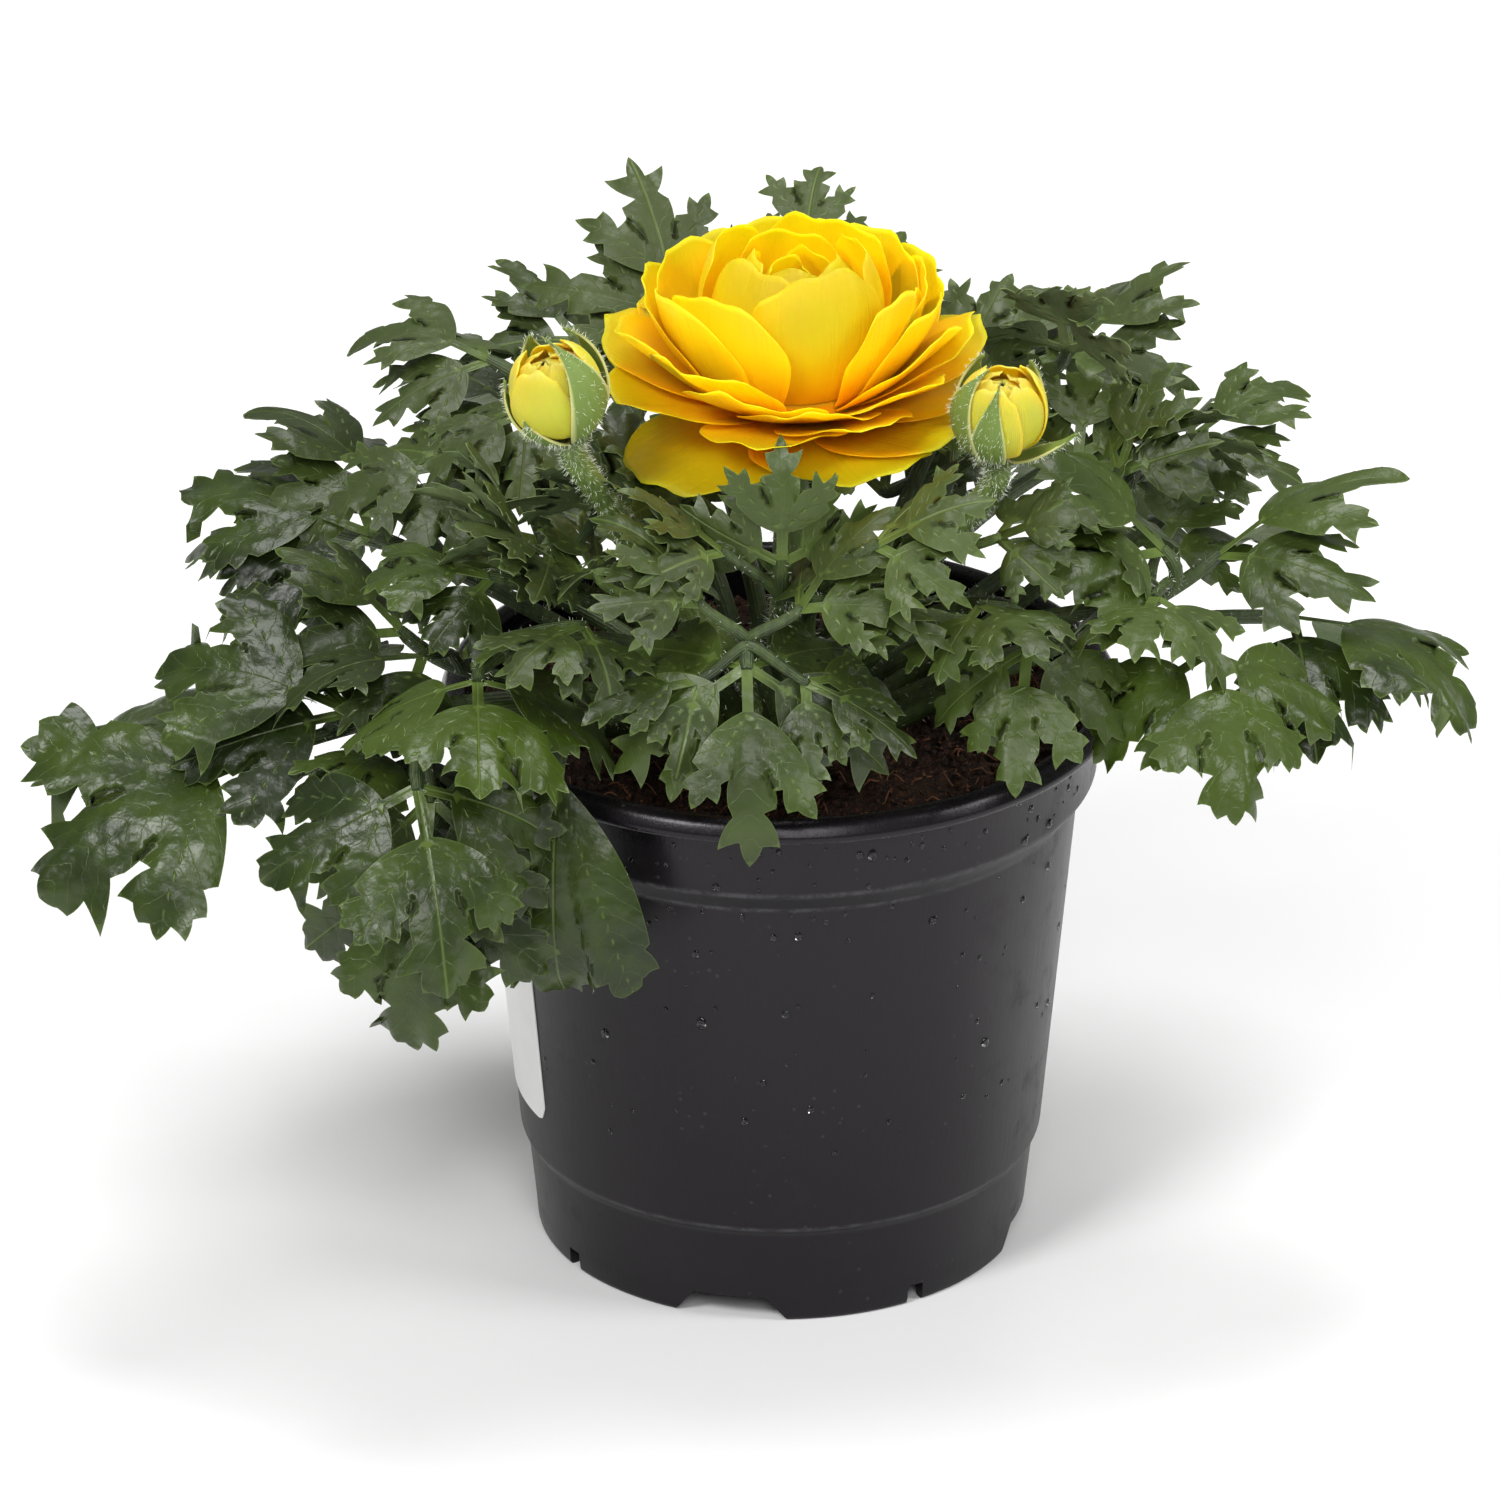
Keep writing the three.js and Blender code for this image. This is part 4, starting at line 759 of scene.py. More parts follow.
# Leaflets have three lobes: the angle between their ribs, the side ribs' share of the middle one, how
# far out the cut between lobes starts, how pale the blade is, how far it cups, folds up beside its
# ribs, curls down and ruffles, and the teeth of half a lobe, each as its point and the notch after it.
# Lengths are shares of the leaflet's, and those of teeth of the lobe's.
Style = namedtuple("Style", "rib_angle side_rib sinus paleness relief teeth")
LEAF_STYLES = {
    "broad": Style(
        42, 0.86, 0.42, 0.05, (-0.04, 0.14, 0.1, 0.04),
        [(0.6, 0.225), (0.66, 0.175), (0.82, 0.3), (0.83, 0.17), (0.95, 0.16), (0.93, 0.075)],
    ),
    "cut": Style(
        41, 0.84, 0.36, 0.3, (0.03, 0.16, 0.12, 0.04),
        [(0.62, 0.21), (0.68, 0.13), (0.87, 0.22), (0.86, 0.09)],
    ),
    "fine": Style(
        41, 0.84, 0.32, 0.3, (0.03, 0.16, 0.12, 0.04),
        [(0.6, 0.2), (0.65, 0.1), (0.85, 0.2), (0.83, 0.07)],
    ),
    "slim": Style(
        32, 0.8, 0.42, 0.2, (0.03, 0.14, 0.12, 0.03),
        [(0.62, 0.17), (0.67, 0.11), (0.86, 0.2), (0.85, 0.08)],
    ),
    "whole": Style(
        22, 0.82, 0.78, 0, (-0.06, 0.03, 0.05, 0.04),
        [(0.8, 0.16), (0.83, 0.14), (0.9, 0.14), (0.92, 0.1), (0.97, 0.08), (0.975, 0.05)],
    ),
}
# Cut leaves with their hub above this height are cut finer.
FINE_ABOVE = 140

# Leaflets round the end of the stalk: direction, share of the leaf's size, share that is stalk
LEAFLETS = {
    "three": [(-1, 0.86, 0.2), (0, 1, 0.26), (1, 0.86, 0.2)],
    "five": [(-2, 0.8, 0.2), (-1, 0.9, 0.2), (0, 1, 0.24), (1, 0.9, 0.2), (2, 0.8, 0.2)],
    "turned": [(-1.9, 0.66, 0.2), (-0.85, 0.95, 0.2), (0.05, 1, 0.24)],
    "one": [(0, 1, 0.08)],
}
LEAFLET_KINDS = {1: "turned", 4: "one", 24: "five"}

# A leaf's number, style, root circle, angle on that circle or place on a stem, hub where the
# leaflets meet, heading, pitch, roll, size, angle between leaflets and droop
Leaf = namedtuple("Leaf", "number style ring root hub heading pitch roll size spread droop")

# Every leaf as the part's source has it
LEAVES = [
    (1, "broad", "outer", 203, (-87, -34, 107), 205, -8, -26, 47, 44, 22),
    (2, "broad", "outer", 236, (-62, -66, 115), 284, -42, 4, 33, 74, 18),
    (3, "broad", "outer", 219, (-62, -60, 97), 258, -62, 0, 30, 54, 12),
    (4, "whole", "outer", 254, (-38, -49, 112), 262, -56, 0, 47, 0, 42),
    (5, "broad", "middle", 234, (-52, -49, 127), 272, -2, 0, 30, 90, 18),
    (6, "cut", "outer", 186, (-66, -14, 120), 160, 44, 0, 26, 55, 15),
    (7, "broad", "middle", 206, (-50, -24, 135), 186, 16, -6, 23, 58, 20),
    (8, "cut", "inner", 168, (-44, -19, 138), 200, 70, 0, 24, 52, 10),
    (9, "broad", "outer", 168, (-72, 14, 126), 166, 18, -18, 35, 60, 20),
    (10, "cut", "middle", 148, (-51, 26, 154), 160, 20, -6, 27, 52, 25),
    (11, "cut", "middle", 174, (-57, 4, 144), 196, -2, -26, 24, 50, 25),
    (12, "cut", "middle", 123, (-36, 44, 150), 130, 30, 0, 22, 56, 15),
    (13, "cut", "middle", 99, (-18, 38, 157), 116, 60, 0, 28, 60, 10),
    (14, "cut", "middle", 76, (4, 44, 166), 80, 50, 0, 19, 72, 10),
    (15, "cut", "middle", 24, (32, 20, 155), 62, 40, 0, 21, 66, 10),
    (16, "cut", "middle", 46, (51, 36, 151), 32, 40, 0, 28, 62, 25),
    (17, "cut", "outer", 22, (59, 7, 141), 46, 66, 0, 22, 52, 20),
    (18, "cut", "outer", 40, (72, 30, 137), 25, 30, 0, 24, 60, 15),
    (19, "broad", "middle", 336, (66, -24, 140), 163, 44, 0, 28, 60, 15),
    (20, "cut", "outer", 346, (76, -4, 130), 18, 38, -12, 34, 54, 30),
    (21, "broad", "outer", 4, (89, -10, 121), 335, 8, -8, 37, 60, 34),
    (22, "broad", "outer", 324, (73, -40, 128), 282, -22, 0, 29, 68, 25),
    (23, "cut", "middle", 314, (42, -45, 131), 262, -42, 0, 24, 58, 15),
    (24, "slim", "outer", 274, (-6, -56, 133), 272, -42, 0, 32, 60, 20),
    (25, "cut", "middle", 262, (0, -42, 146), 92, 98, 0, 22, 68, 12),
    (26, "cut", "middle", 290, (16, -48, 152), 356, 34, 20, 22, 54, 15),
    (27, "cut", "outer", 122, (-42, 66, 124), 124, 0, 0, 40, 62, 35),
    (28, "cut", "outer", 86, (6, 76, 126), 86, 2, 0, 38, 62, 35),
    (29, "cut", "outer", 60, (54, 60, 121), 46, 0, 0, 40, 62, 35),
    (30, "cut", "outer", 148, (-80, 46, 112), 150, 0, 0, 32, 60, 35),
    (34, "cut", "inner", 40, (30, 8, 144), 90, 66, 0, 21, 56, 12),
    (38, "cut", "outer", 100, (-8, 60, 146), 96, 20, 0, 30, 62, 25),
]

# Lower blades on the stalks of some leaves: the leaf that carries one, the share of its stalk
# below the joint, the blade's style, and its columns from the hub on
SIDE_LEAVES = [
    (10, 0.66, "cut", (-44, 8, 152), 214, -4, -8, 22, 52, 20),
    (6, 0.75, "cut", (-62, -26, 121), 206, 10, 0, 28, 56, 20),
    (20, 0.75, "cut", (66, 6, 126), 60, 30, 0, 22, 58, 20),
    (1, 0.7, "cut", (-66, -36, 109), 240, 10, 0, 26, 58, 20),
    (16, 0.6, "cut", (44, 38, 148), 90, 30, 0, 25, 56, 25),
    (17, 0.8, "cut", (52, 12, 142), 80, 60, 0, 19, 56, 20),
    (19, 0.8, "cut", (64, -34, 136), 260, 10, 0, 22, 56, 20),
    (9, 0.75, "cut", (-70, 24, 130), 150, 40, 0, 28, 56, 20),
    (12, 0.7, "cut", (-22, 40, 144), 110, 40, 0, 24, 56, 20),
    (14, 0.75, "cut", (12, 40, 156), 60, 40, 0, 22, 56, 20),
    (29, 0.6, "cut", (32, 52, 136), 70, 30, 0, 30, 60, 20),
    (27, 0.6, "cut", (-46, 44, 136), 140, 20, 0, 26, 60, 20),
    # The rest are young blades in the heart of the plant, which the part's source doesn't have.
    (1, 0.86, "broad", (-74, -34, 114), 172, 24, -25, 36, 34, 20),
    (2, 0.86, "cut", (-60, -56, 108), 262, -50, 10, 30, 50, 20),
    (24, 0.86, "cut", (-14, -50, 142), 152, 50, 0, 23, 56, 15),
    (24, 0.86, "cut", (3, -50, 141), 34, 50, 0, 23, 56, 15),
    (24, 0.9, "slim", (-14, -55, 130), 205, 0, -20, 20, 56, 20),
    (24, 0.9, "slim", (4, -56, 130), 330, -10, 20, 21, 56, 20),
    (25, 0.8, "cut", (10, -46, 142), 12, 34, 10, 22, 56, 15),
    (25, 0.8, "cut", (-10, -42, 148), 170, 40, 0, 19, 56, 15),
    (5, 0.8, "cut", (-34, -44, 135), 235, 10, 0, 22, 58, 20),
    (7, 0.85, "cut", (-40, -26, 140), 215, 40, 0, 20, 56, 15),
    (8, 0.8, "cut", (-32, -20, 146), 250, 60, 0, 19, 56, 15),
    (23, 0.85, "cut", (34, -42, 138), 300, 10, 0, 22, 58, 20),
    (19, 0.7, "cut", (56, -18, 138), 240, 50, 0, 22, 56, 20),
    (16, 0.85, "cut", (50, 26, 156), 250, 70, 0, 22, 56, 15),
    (18, 0.8, "cut", (66, 20, 140), 290, 50, 0, 22, 56, 15),
    (34, 0.85, "cut", (34, 0, 148), 300, 50, 0, 20, 56, 15),
    (13, 0.6, "cut", (-6, 22, 134), 92, 66, 0, 24, 58, 10),
    (15, 0.6, "cut", (18, 14, 134), 70, 66, 0, 24, 58, 10),
    (11, 0.75, "cut", (-42, 2, 130), 130, 60, 0, 24, 58, 10),
    (8, 0.6, "cut", (-26, -4, 132), 100, 66, 0, 24, 58, 10),
]

# Small leaves that grow from a stem: style, the joint's place, and the columns from the hub on
STEM_LEAVES = {
    "flower": [("cut", (1, -3, 122), (-16, 3, 139), 170, 40, 0, 17, 60, 15)],
    "left": [
        ("cut", (-16, -14, 122), (-32, -21, 134), 146, 58, 0, 15, 54, 15),
        ("cut", (-19, -16.5, 130), (-26, -34, 142), 262, 40, 0, 17, 56, 15),
    ],
    "right": [
        ("cut", (22, -13, 128), (37, -38, 149), 350, 28, 28, 18, 58, 15),
        ("cut", (16, -10, 120), (20, -32, 132), 290, 40, 0, 17, 54, 15),
    ],
}


def side_leaf(style, *columns):
    """A blade on a stalk or stem, given as a leaf's columns from the place of its joint on."""
    return Leaf(0, style, "stem", *columns)


def leaf_frame(leaf):
    """The directions ahead of a leaf's hub, to its left and up from its blade."""
    heading, pitch, roll = leaf.heading * DEGREE, leaf.pitch * DEGREE, leaf.roll * DEGREE
    forward = around(heading) * math.cos(pitch) + (0, 0, math.sin(pitch))
    level = around(heading + math.pi / 2)
    upright = np.cross(forward, level)
    left = level * math.cos(roll) + upright * math.sin(roll)
    return forward, left, upright * math.cos(roll) - level * math.sin(roll)


def arc(start, end, bulge, count):
    """Points from start to just before end on an arc that bulges to its right."""
    step = np.subtract(end, start)
    t = np.linspace(0, 1, count, endpoint=False)[:, None]
    return start + step * t + np.array([step[1], -step[0]]) * bulge * 4 * t * (1 - t)


def leaflet_outline(style, length, stem, phase):
    """The outline of one leaflet, anticlockwise, from the hub out along its right side."""

    def from_stem(along, across, direction, reach):
        cos, sin = math.cos(direction * DEGREE), math.sin(direction * DEGREE)
        return stem + reach * (along * cos - across * sin), reach * (along * sin + across * cos)

    def half_lobe(side, index, direction, reach):
        """The teeth of half a lobe, each a little longer or shorter and wider or narrower."""
        spots = []
        for order, (along, across) in enumerate(style.teeth):
            wobble = math.sin(2.7 * phase + 1.9 * order + 2.3 * side + 3.1 * index)
            along, across = along * (1 + 0.025 * wobble), side * across * (1 + 0.16 * wobble)
            spots.append(from_stem(along, across, direction, reach))
        return spots

    start = (stem, -LEAFLET_FOOT)
    outline = [(0, -LEAFLET_FOOT), start]
    for index, direction in enumerate((-style.rib_angle, 0, style.rib_angle)):
        reach = length * (style.side_rib if direction else 1)
        reach *= 1 + 0.07 * math.sin(3.3 * phase + 2 * index)
        if direction < style.rib_angle:
            end = from_stem(style.sinus, 0, direction + style.rib_angle / 2, length)
        else:
            end = (stem, LEAFLET_FOOT)
        right = [start, *half_lobe(-1, index, direction, reach)]
        left = [*reversed(half_lobe(1, index, direction, reach)), end]
        route = [*right, from_stem(1, 0, direction, reach), *left]
        for step, (here, after) in enumerate(zip(route, route[1:])):
            is_long = (step % 2 == 0) == (step < len(right))
            bulge = TOOTH_BULGE if is_long else -TOOTH_BULGE / 3
            outline.extend(arc(here, after, bulge, max(2, round(math.dist(here, after) / TOOTH_STEP))))
        start = end
    cleaned = outline[:1]
    for point in [*outline[1:], (stem, LEAFLET_FOOT), (0, LEAFLET_FOOT)]:
        if math.dist(cleaned[-1], point) > SHORTEST_STEP:
            cleaned.append(point)
    return np.array(cleaned)


def distance_to_outline(points, outline):
    """How far points are from an outline, positive inside it."""
    start, end = outline, np.roll(outline, -1, axis=0)
    step = end - start
    to_point = points[:, None, :] - start[None]
    share = np.clip((to_point * step).sum(2) / np.maximum((step**2).sum(1), 1e-9), 0, 1)
    away = np.linalg.norm(to_point - share[..., None] * step, axis=2).min(1)
    crosses = (start[:, 1] > points[:, None, 1]) != (end[:, 1] > points[:, None, 1])
    rise = np.where(np.abs(step[:, 1]) < 1e-9, 1e-9, step[:, 1])
    at = start[:, 0] + step[:, 0] * (points[:, None, 1] - start[:, 1]) / rise
    inside = (crosses & (points[:, None, 0] < at)).sum(1) % 2 == 1
    return np.where(inside, away, -away)


def flat_leaflet(style, length, stem, phase):
    """A leaflet laid flat: points, triangles, rim, and each point's distance from the outline."""
    outline = leaflet_outline(style, length, stem, phase)
    low, high = outline.min(0), outline.max(0)
    ys = np.arange(low[1], high[1], BLADE_GRID * 0.87)
    x, y = np.meshgrid(np.arange(low[0], high[0], BLADE_GRID), ys)
    x = x + (np.arange(len(ys)) % 2)[:, None] * BLADE_GRID / 2
    inner = np.column_stack([x.ravel(), y.ravel()])
    inner = inner[distance_to_outline(inner, outline) > BLADE_GRID * 0.42]
    every = [Vector(point) for point in np.vstack([outline, inner])]
    made, _, triangles, sources, _, _ = delaunay_2d_cdt(every, [], [tuple(range(len(outline)))], 1, 1e-4)
    points = np.array([tuple(point) for point in made])
    made_from = {source: index for index, group in enumerate(sources) for source in group}
    rim = [made_from[source] for source in range(len(outline)) if source in made_from]
    rim = [index for index, _ in groupby(rim)]
    edge = np.maximum(distance_to_outline(points, outline), 0)
    edge[rim] = 0
    return points, triangles, rim, edge


def leaflet_relief(style, flat, edge, length, stem, phase):
    """How far the places of a flat leaflet stand up, how far they are from a rib and how far along it."""
    cup, fold, curl, ruffle = style.relief
    past = np.maximum(flat[:, 0] - stem, 0)
    across = np.where(past > 0, flat[:, 1], 0)
    away = np.hypot(past, across)
    angle = np.arctan2(across, past) / DEGREE
    off_ribs = np.abs([angle - direction for direction in (-style.rib_angle, 0, style.rib_angle)])
    nearest, off_rib = off_ribs.argmin(0), off_ribs.min(0)
    from_rib = np.where(past > 0, away * np.sin(off_rib * DEGREE), np.abs(flat[:, 1]))
    along = np.where(past > 0, away * np.cos(off_rib * DEGREE), 0) + 7 * nearest
    reach, wide = away / length, across / length
    relief = cup * wide**2 + fold * np.sin(np.minimum(off_rib, 40) * DEGREE) * reach
    relief += ruffle * reach**2 * np.sin(angle / 17 + phase) - curl * reach**3
    # What makes each leaflet its own: a twist, tips that curl by lobe, domed lobes and a wavy margin
    relief += 0.2 * math.sin(1.3 * phase) * wide * reach
    relief -= (0.06 + 0.12 * np.sin(phase + 2.4 * nearest)) * reach**2.5 + 0.9 * (from_rib / length) ** 2
    relief += 0.04 * np.sin(19 * wide + 2 * phase) * np.clip(1.4 - edge / 4, 0, 1) * reach**2
    return length * relief, from_rib, along


def leaf_blade(shape, leaf, number):
    """The leaflets round a hub, bent down together away from it."""
    height = leaf.hub[2]
    style = LEAF_STYLES["fine" if leaf.style == "cut" and height > FINE_ABOVE else leaf.style]
    # Leaves near the top are paler and duller than the low, wide ones.
    paleness = min(1.0, style.paleness + max(0, height - PALE_FROM) / PALE_OVER)
    forward, left, up = leaf_frame(leaf)
    bend_per_length = max(leaf.droop, 1) * DEGREE / leaf.size
    for index, (side, share, stalk_share) in enumerate(LEAFLETS[LEAFLET_KINDS.get(leaf.number, "three")]):
        reach = BLADE_REACH * share * leaf.size
        length, stem = (1 - stalk_share) * reach, stalk_share * reach
        phase = 1.7 * number + 2.1 * index
        flat, triangles, rim, edge = flat_leaflet(style, length, stem, phase)
        lift, from_rib, along = leaflet_relief(style, flat, edge, length, stem, phase)
        lift = lift - LEAFLET_FALL * abs(side) * np.maximum(flat[:, 0], 0) + BLADE_THICKNESS / 2
        turn = side * leaf.spread * DEGREE
        ahead = flat @ (math.cos(turn), -math.sin(turn))
        aside = flat @ (math.sin(turn), math.cos(turn))
        distance = np.maximum(np.hypot(ahead, aside), 1e-6)[:, None]
        outward = (np.outer(ahead, forward) + np.outer(aside, left)) / distance
        bend = bend_per_length * distance
        normal = up * np.cos(bend) + outward * np.sin(bend)
        top = leaf.hub + (outward * np.sin(bend) - up * (1 - np.cos(bend))) / bend_per_length
        top = top + normal * lift[:, None]
        # Low leaves are made darker here: painted shade under the leaves above them.
        tint_and_painted_shade = (math.sin(12.9 * number + 7.3 * index) + 1) / 2 - LOW_LEAF_PAINTED_SHADE * (height < LOW_LEAF_HEIGHT)
        marks = {
            "vein_place": np.column_stack([from_rib, along, edge]),
            "tone": np.column_stack([np.full(len(flat), tint_and_painted_shade), np.full(len(flat), paleness), distance]),
        }
        thickness = BLADE_THICKNESS * np.clip(0.35 + edge / 1.2, 0.35, 1)
        sheet(shape, top, normal, thickness, triangles, rim, (BLADE, UNDER), **marks)


def stalk_controls(leaf):
    """The four control points of a stalk, from its root to its hub."""
    hub = np.array(leaf.hub, float)
    if leaf.ring == "stem":
        root = np.array(leaf.root, float)
    else:
        root = around(leaf.root * DEGREE) * ROOT_CIRCLE[leaf.ring] + (0, 0, STALK_START)
    up, out = STALK_LEAN[leaf.ring]
    span = np.linalg.norm(hub - root)
    first = root + (unit(hub * (1, 1, 0)) * out + (0, 0, up)) * span
    forward = leaf_frame(leaf)[0]
    return root, first, hub - forward * 0.3 * span, hub + forward * 0.6


def add_leaf(shape, leaf, number):
    """A blade, its stalk and the stalk's hairs."""
    leaf_blade(shape, leaf, number)
    path = bezier(stalk_controls(leaf), STALK_STEPS + 1)
    radii = np.linspace(*STALK_RADIUS, len(path)) * (0.7 if leaf.ring == "stem" else 1)
    radii[:4] *= (1.35, 1.22, 1.12, 1.05)
    radii[-1] *= 0.8
    surface = tube(shape, path, radii, 10, STEM, ridge=0.05)
    reach = np.linalg.norm(np.diff(path, axis=0), axis=1).sum()
    hairs(shape, *surface, int(HAIRS_PER_LENGTH * reach), STALK_HAIR, number)


def leaves(materials):
    for index, row in enumerate(LEAVES):
        leaf = Leaf(*row)
        shape = Shape()
        add_leaf(shape, leaf, index)
        stalk = bezier(stalk_controls(leaf), 101)
        carried = [side for side in SIDE_LEAVES if side[0] == leaf.number]
        for order, (_, share, style, *columns) in enumerate(carried):
            add_leaf(shape, side_leaf(style, stalk[round(100 * share)], *columns), 60 + index + order)
        node = f"leaf_{leaf.number:02}"
        smooth(shape.build(node + "_blade", materials, [node]), LEAF_SHARP_EDGE)


# Flower

# Petals from the heart outwards: share of the way out, start radius and height, slope at the start
# and at the end, length, half the width.
PETAL_STAGES = np.array([
    (0, 1, 3.4, 80, 110, 18, 6),
    (0.12, 4.8, 3, 66, 132, 22.5, 10),
    (0.3, 9.6, 3.8, 55, 130, 26, 14),
    (0.42, 12, 4, 46, 124, 27, 17),
    (0.5, 12.6, 3.4, 40, 106, 25, 17),
    (0.65, 12.4, 2.6, 30, 60, 24, 17),
    (0.8, 11, 0.9, 20, 30, 25, 17),
    (0.9, 9.5, -0.6, 8, 8, 26, 18),
    (1, 7.5, -1.6, 0, -16, 27.5, 18),
])
BALL_PETALS = 17
BALL_PETALS_SHARE = 0.45
PETAL_START_TURN = 26
PETAL_GRID = (18, 20)
# No petal reaches further round the axis than this, in degrees to either side.
PETAL_REACH = 80

# The petals round the ball: angle from +X, share of the way out, share of the stage's width
OPEN_PETALS = [
    (204, 0.57, 1.15), (228, 0.52, 1.0), (176, 0.6, 1.1), (150, 0.56, 1.1), (124, 0.62, 1.1),
    (98, 0.55, 1.1), (72, 0.6, 1.1), (48, 0.54, 1.1), (24, 0.6, 1.1), (2, 0.55, 1.0),
    (344, 0.6, 0.9), (328, 0.54, 0.8), (334, 0.68, 0.9), (352, 0.72, 0.9), (196, 0.7, 1.15),
    (232, 0.7, 0.9), (252, 0.76, 0.9), (276, 0.8, 0.85), (294, 0.84, 0.85), (312, 0.78, 0.85),
    (224, 1, 1.2), (188, 0.9, 0.9), (206, 0.84, 0.9), (352, 0.88, 0.85), (324, 0.92, 1.05),
    (293, 0.95, 1.15), (262, 0.86, 0.85), (33, 0.9, 1), (74, 0.88, 1), (112, 0.91, 1),
    (150, 0.87, 1), (15, 0.82, 1), (55, 0.78, 1), (95, 0.8, 1), (132, 0.78, 1), (170, 0.8, 1),
]
# The flower's heart under its petals, as radius and height over its base
FLOWER_HEART = [(0, -4), (5, -4), (9.6, -2.6), (12.8, 1.6), (13, 5), (6, 4.6), (2.2, 5), (1.8, 20), (0, 21)]
# A sepal of the flower, as a petal's stage
FLOWER_SEPAL = (4, -1.4, -20, -75, 13, 3.6)


def petal_stage(share, width=1.0):
    stage = [np.interp(share, PETAL_STAGES[:, 0], column) for column in PETAL_STAGES.T[1:]]
    return [*stage[:-1], stage[-1] * width]


def petal(shape, stage, turn, wave, phase, base, layer, ruffle, size=PETAL_GRID, slot=0):
    """A petal on a surface turned about the flower's axis, with a rounded, slightly waved margin."""
    start_radius, start_height, start_slope, end_slope, length, half_width = stage
    first, last = start_slope * DEGREE, end_slope * DEGREE
    per_slope = length / (last - first)
    across, along, faces, rim = grid(*size)
    notch = 0.025 * np.sin(4 * across + phase) + 0.015 * np.sin(11 * across + 2 * phase)
    skew = 0.05 * math.sin(2.3 * phase) * across
    share = along * (1 - 0.3 * np.abs(across) ** 2.6 + (notch + skew) * along**2)
    slope = first + (last - first) * share
    radius = start_radius + per_slope * (np.sin(slope) - math.sin(first))
    width = half_width * (0.4 + 0.6 * np.sin(share * 110 * DEGREE)) * (1.04 - 0.14 * along**6) * across
    widest = PETAL_REACH * DEGREE
    outward = around(turn * DEGREE - widest * np.tanh(width / (np.maximum(radius, 1) * widest)))
    normal = -outward * np.sin(slope)[:, None]
    normal[:, 2] = np.cos(slope)
    top = outward * radius[:, None]
    top[:, 2] = start_height - per_slope * (np.cos(slope) - math.cos(first))
    lift = wave * share**2 * np.sin(2.4 * across + phase)
    lift = lift + ruffle * share**3 * (np.sin(5 * across + 1.7 * phase) + 0.4 * np.sin(12 * across + phase))
    marks = {
        "petal_place": np.column_stack([across, share, np.full(len(share), 1.37 * phase)]),
        "petal_layer": np.full((len(share), 3), layer),
    }
    thickness = PETAL_THICKNESS * np.clip(1.3 - along, 0.3, 1)
    turned = [face[::-1] for face in faces]
    top = top + normal * lift[:, None] + base
    sheet(shape, top, normal, thickness, turned, rim[::-1], (slot, slot), **marks)


def flower(petal_material, heart_material):
    shape = Shape()
    lathe(shape, filleted(FLOWER_HEART, 0.8), 48, slot=1)
    shape.points[0] += FLOWER_BASE
    for index in range(BALL_PETALS):
        share = BALL_PETALS_SHARE * index / (BALL_PETALS - 1)
        turn = PETAL_START_TURN + index * GOLDEN_ANGLE
        petal(shape, petal_stage(share), turn, 0.5 * share, index, FLOWER_BASE, 0, 0.3 + share)
    for index, (turn, share, width) in enumerate(OPEN_PETALS):
        opened = share - 0.5
        stage = petal_stage(share, width)
        petal(shape, stage, turn, 2.6 * opened, 40 + index, FLOWER_BASE, 2 * opened, 0.7)
    shape.build("flower_bloom", [petal_material, heart_material], ["flower_petals"])


def add_stem(shape, path, radius, head_radius, flare, sides, hair, seed):
    """A hairy stem that widens under its head, over the last few steps of its path."""
    radii = np.full(len(path), radius)
    radii[-flare:] = np.linspace(radius, head_radius, flare)
    hairs(shape, *tube(shape, path, radii, sides, STEM, ridge=0.03), *hair, seed)


def flower_stem(materials):
    x, y, z = FLOWER_BASE
    top = z - 4 - GAP
    shape = Shape()
    points = [(0, 0, STALK_START), (0, 0, STALK_START + 8), (x * 0.6, y * 0.6, (STALK_START + top) / 2)]
    path = smooth_path([*points, (x, y, top - 6), (x, y, top - 1)], 10)
    add_stem(shape, path, FLOWER_STEM_RADIUS, 4.6, 6, 20, FLOWER_STEM_HAIRS, 301)
    for index in range(FLOWER_SEPALS):
        turn = 36 + index * 360 / FLOWER_SEPALS
        petal(shape, FLOWER_SEPAL, turn, 0, index, (x, y, top), 0, 0.15, (8, 12), SEPAL)
    for index, row in enumerate(STEM_LEAVES["flower"]):
        add_leaf(shape, side_leaf(*row), 40 + index)
    shape.build("flower_stalk", materials, ["flower_stem"])


# Buds

# The middle of the ball, its radius, the way it leans, the stem's foot and one bend, and the sepals
# as angle from +X, latitude of the tip, how far the tip stands off and half the width
BUDS = [
    {
        "name": "left", "centre": (-38.5, -35, 175), "radius": 8.6, "lean": (-0.26, -0.22),
        "foot": (-5, -3.4), "bend": (-20, -18, 132),
        "sepals": [
            (318, 84, 2, 42), (228, -4, -0.45, 46), (178, 24, -0.3, 36),
            (112, 56, 0.6, 36), (40, 60, 1.2, 34),
        ],
    },
    {
        "name": "right", "centre": (37.5, -29, 168.5), "radius": 8.4, "lean": (0.1, -0.24),
        "foot": (5, -3.4), "bend": (24, -16, 134),
        "sepals": [
            (254, 60, 0.8, 30), (204, 66, 0.6, 44), (338, 2, 5, 28),
            (52, 46, 0.6, 36), (128, 50, 0.6, 36),
        ],
    },
]
BUD_HEIGHT_SHARE = 1.1
# Its petals: count, turn of the first, latitude of the foot and of the first tip, how much further
# up each next one reaches and how far it lies inside the last, half the width, and how deep the
# core lies
BUD_PETALS = 13
BUD_START_TURN = 250
BUD_FOOT = -62
BUD_TIP = 56
BUD_TIP_STEP = 2.6
BUD_LAYER_STEP = 0.22
BUD_PETAL_HALF_WIDTH = 52
BUD_CORE_DEPTH = 3.4


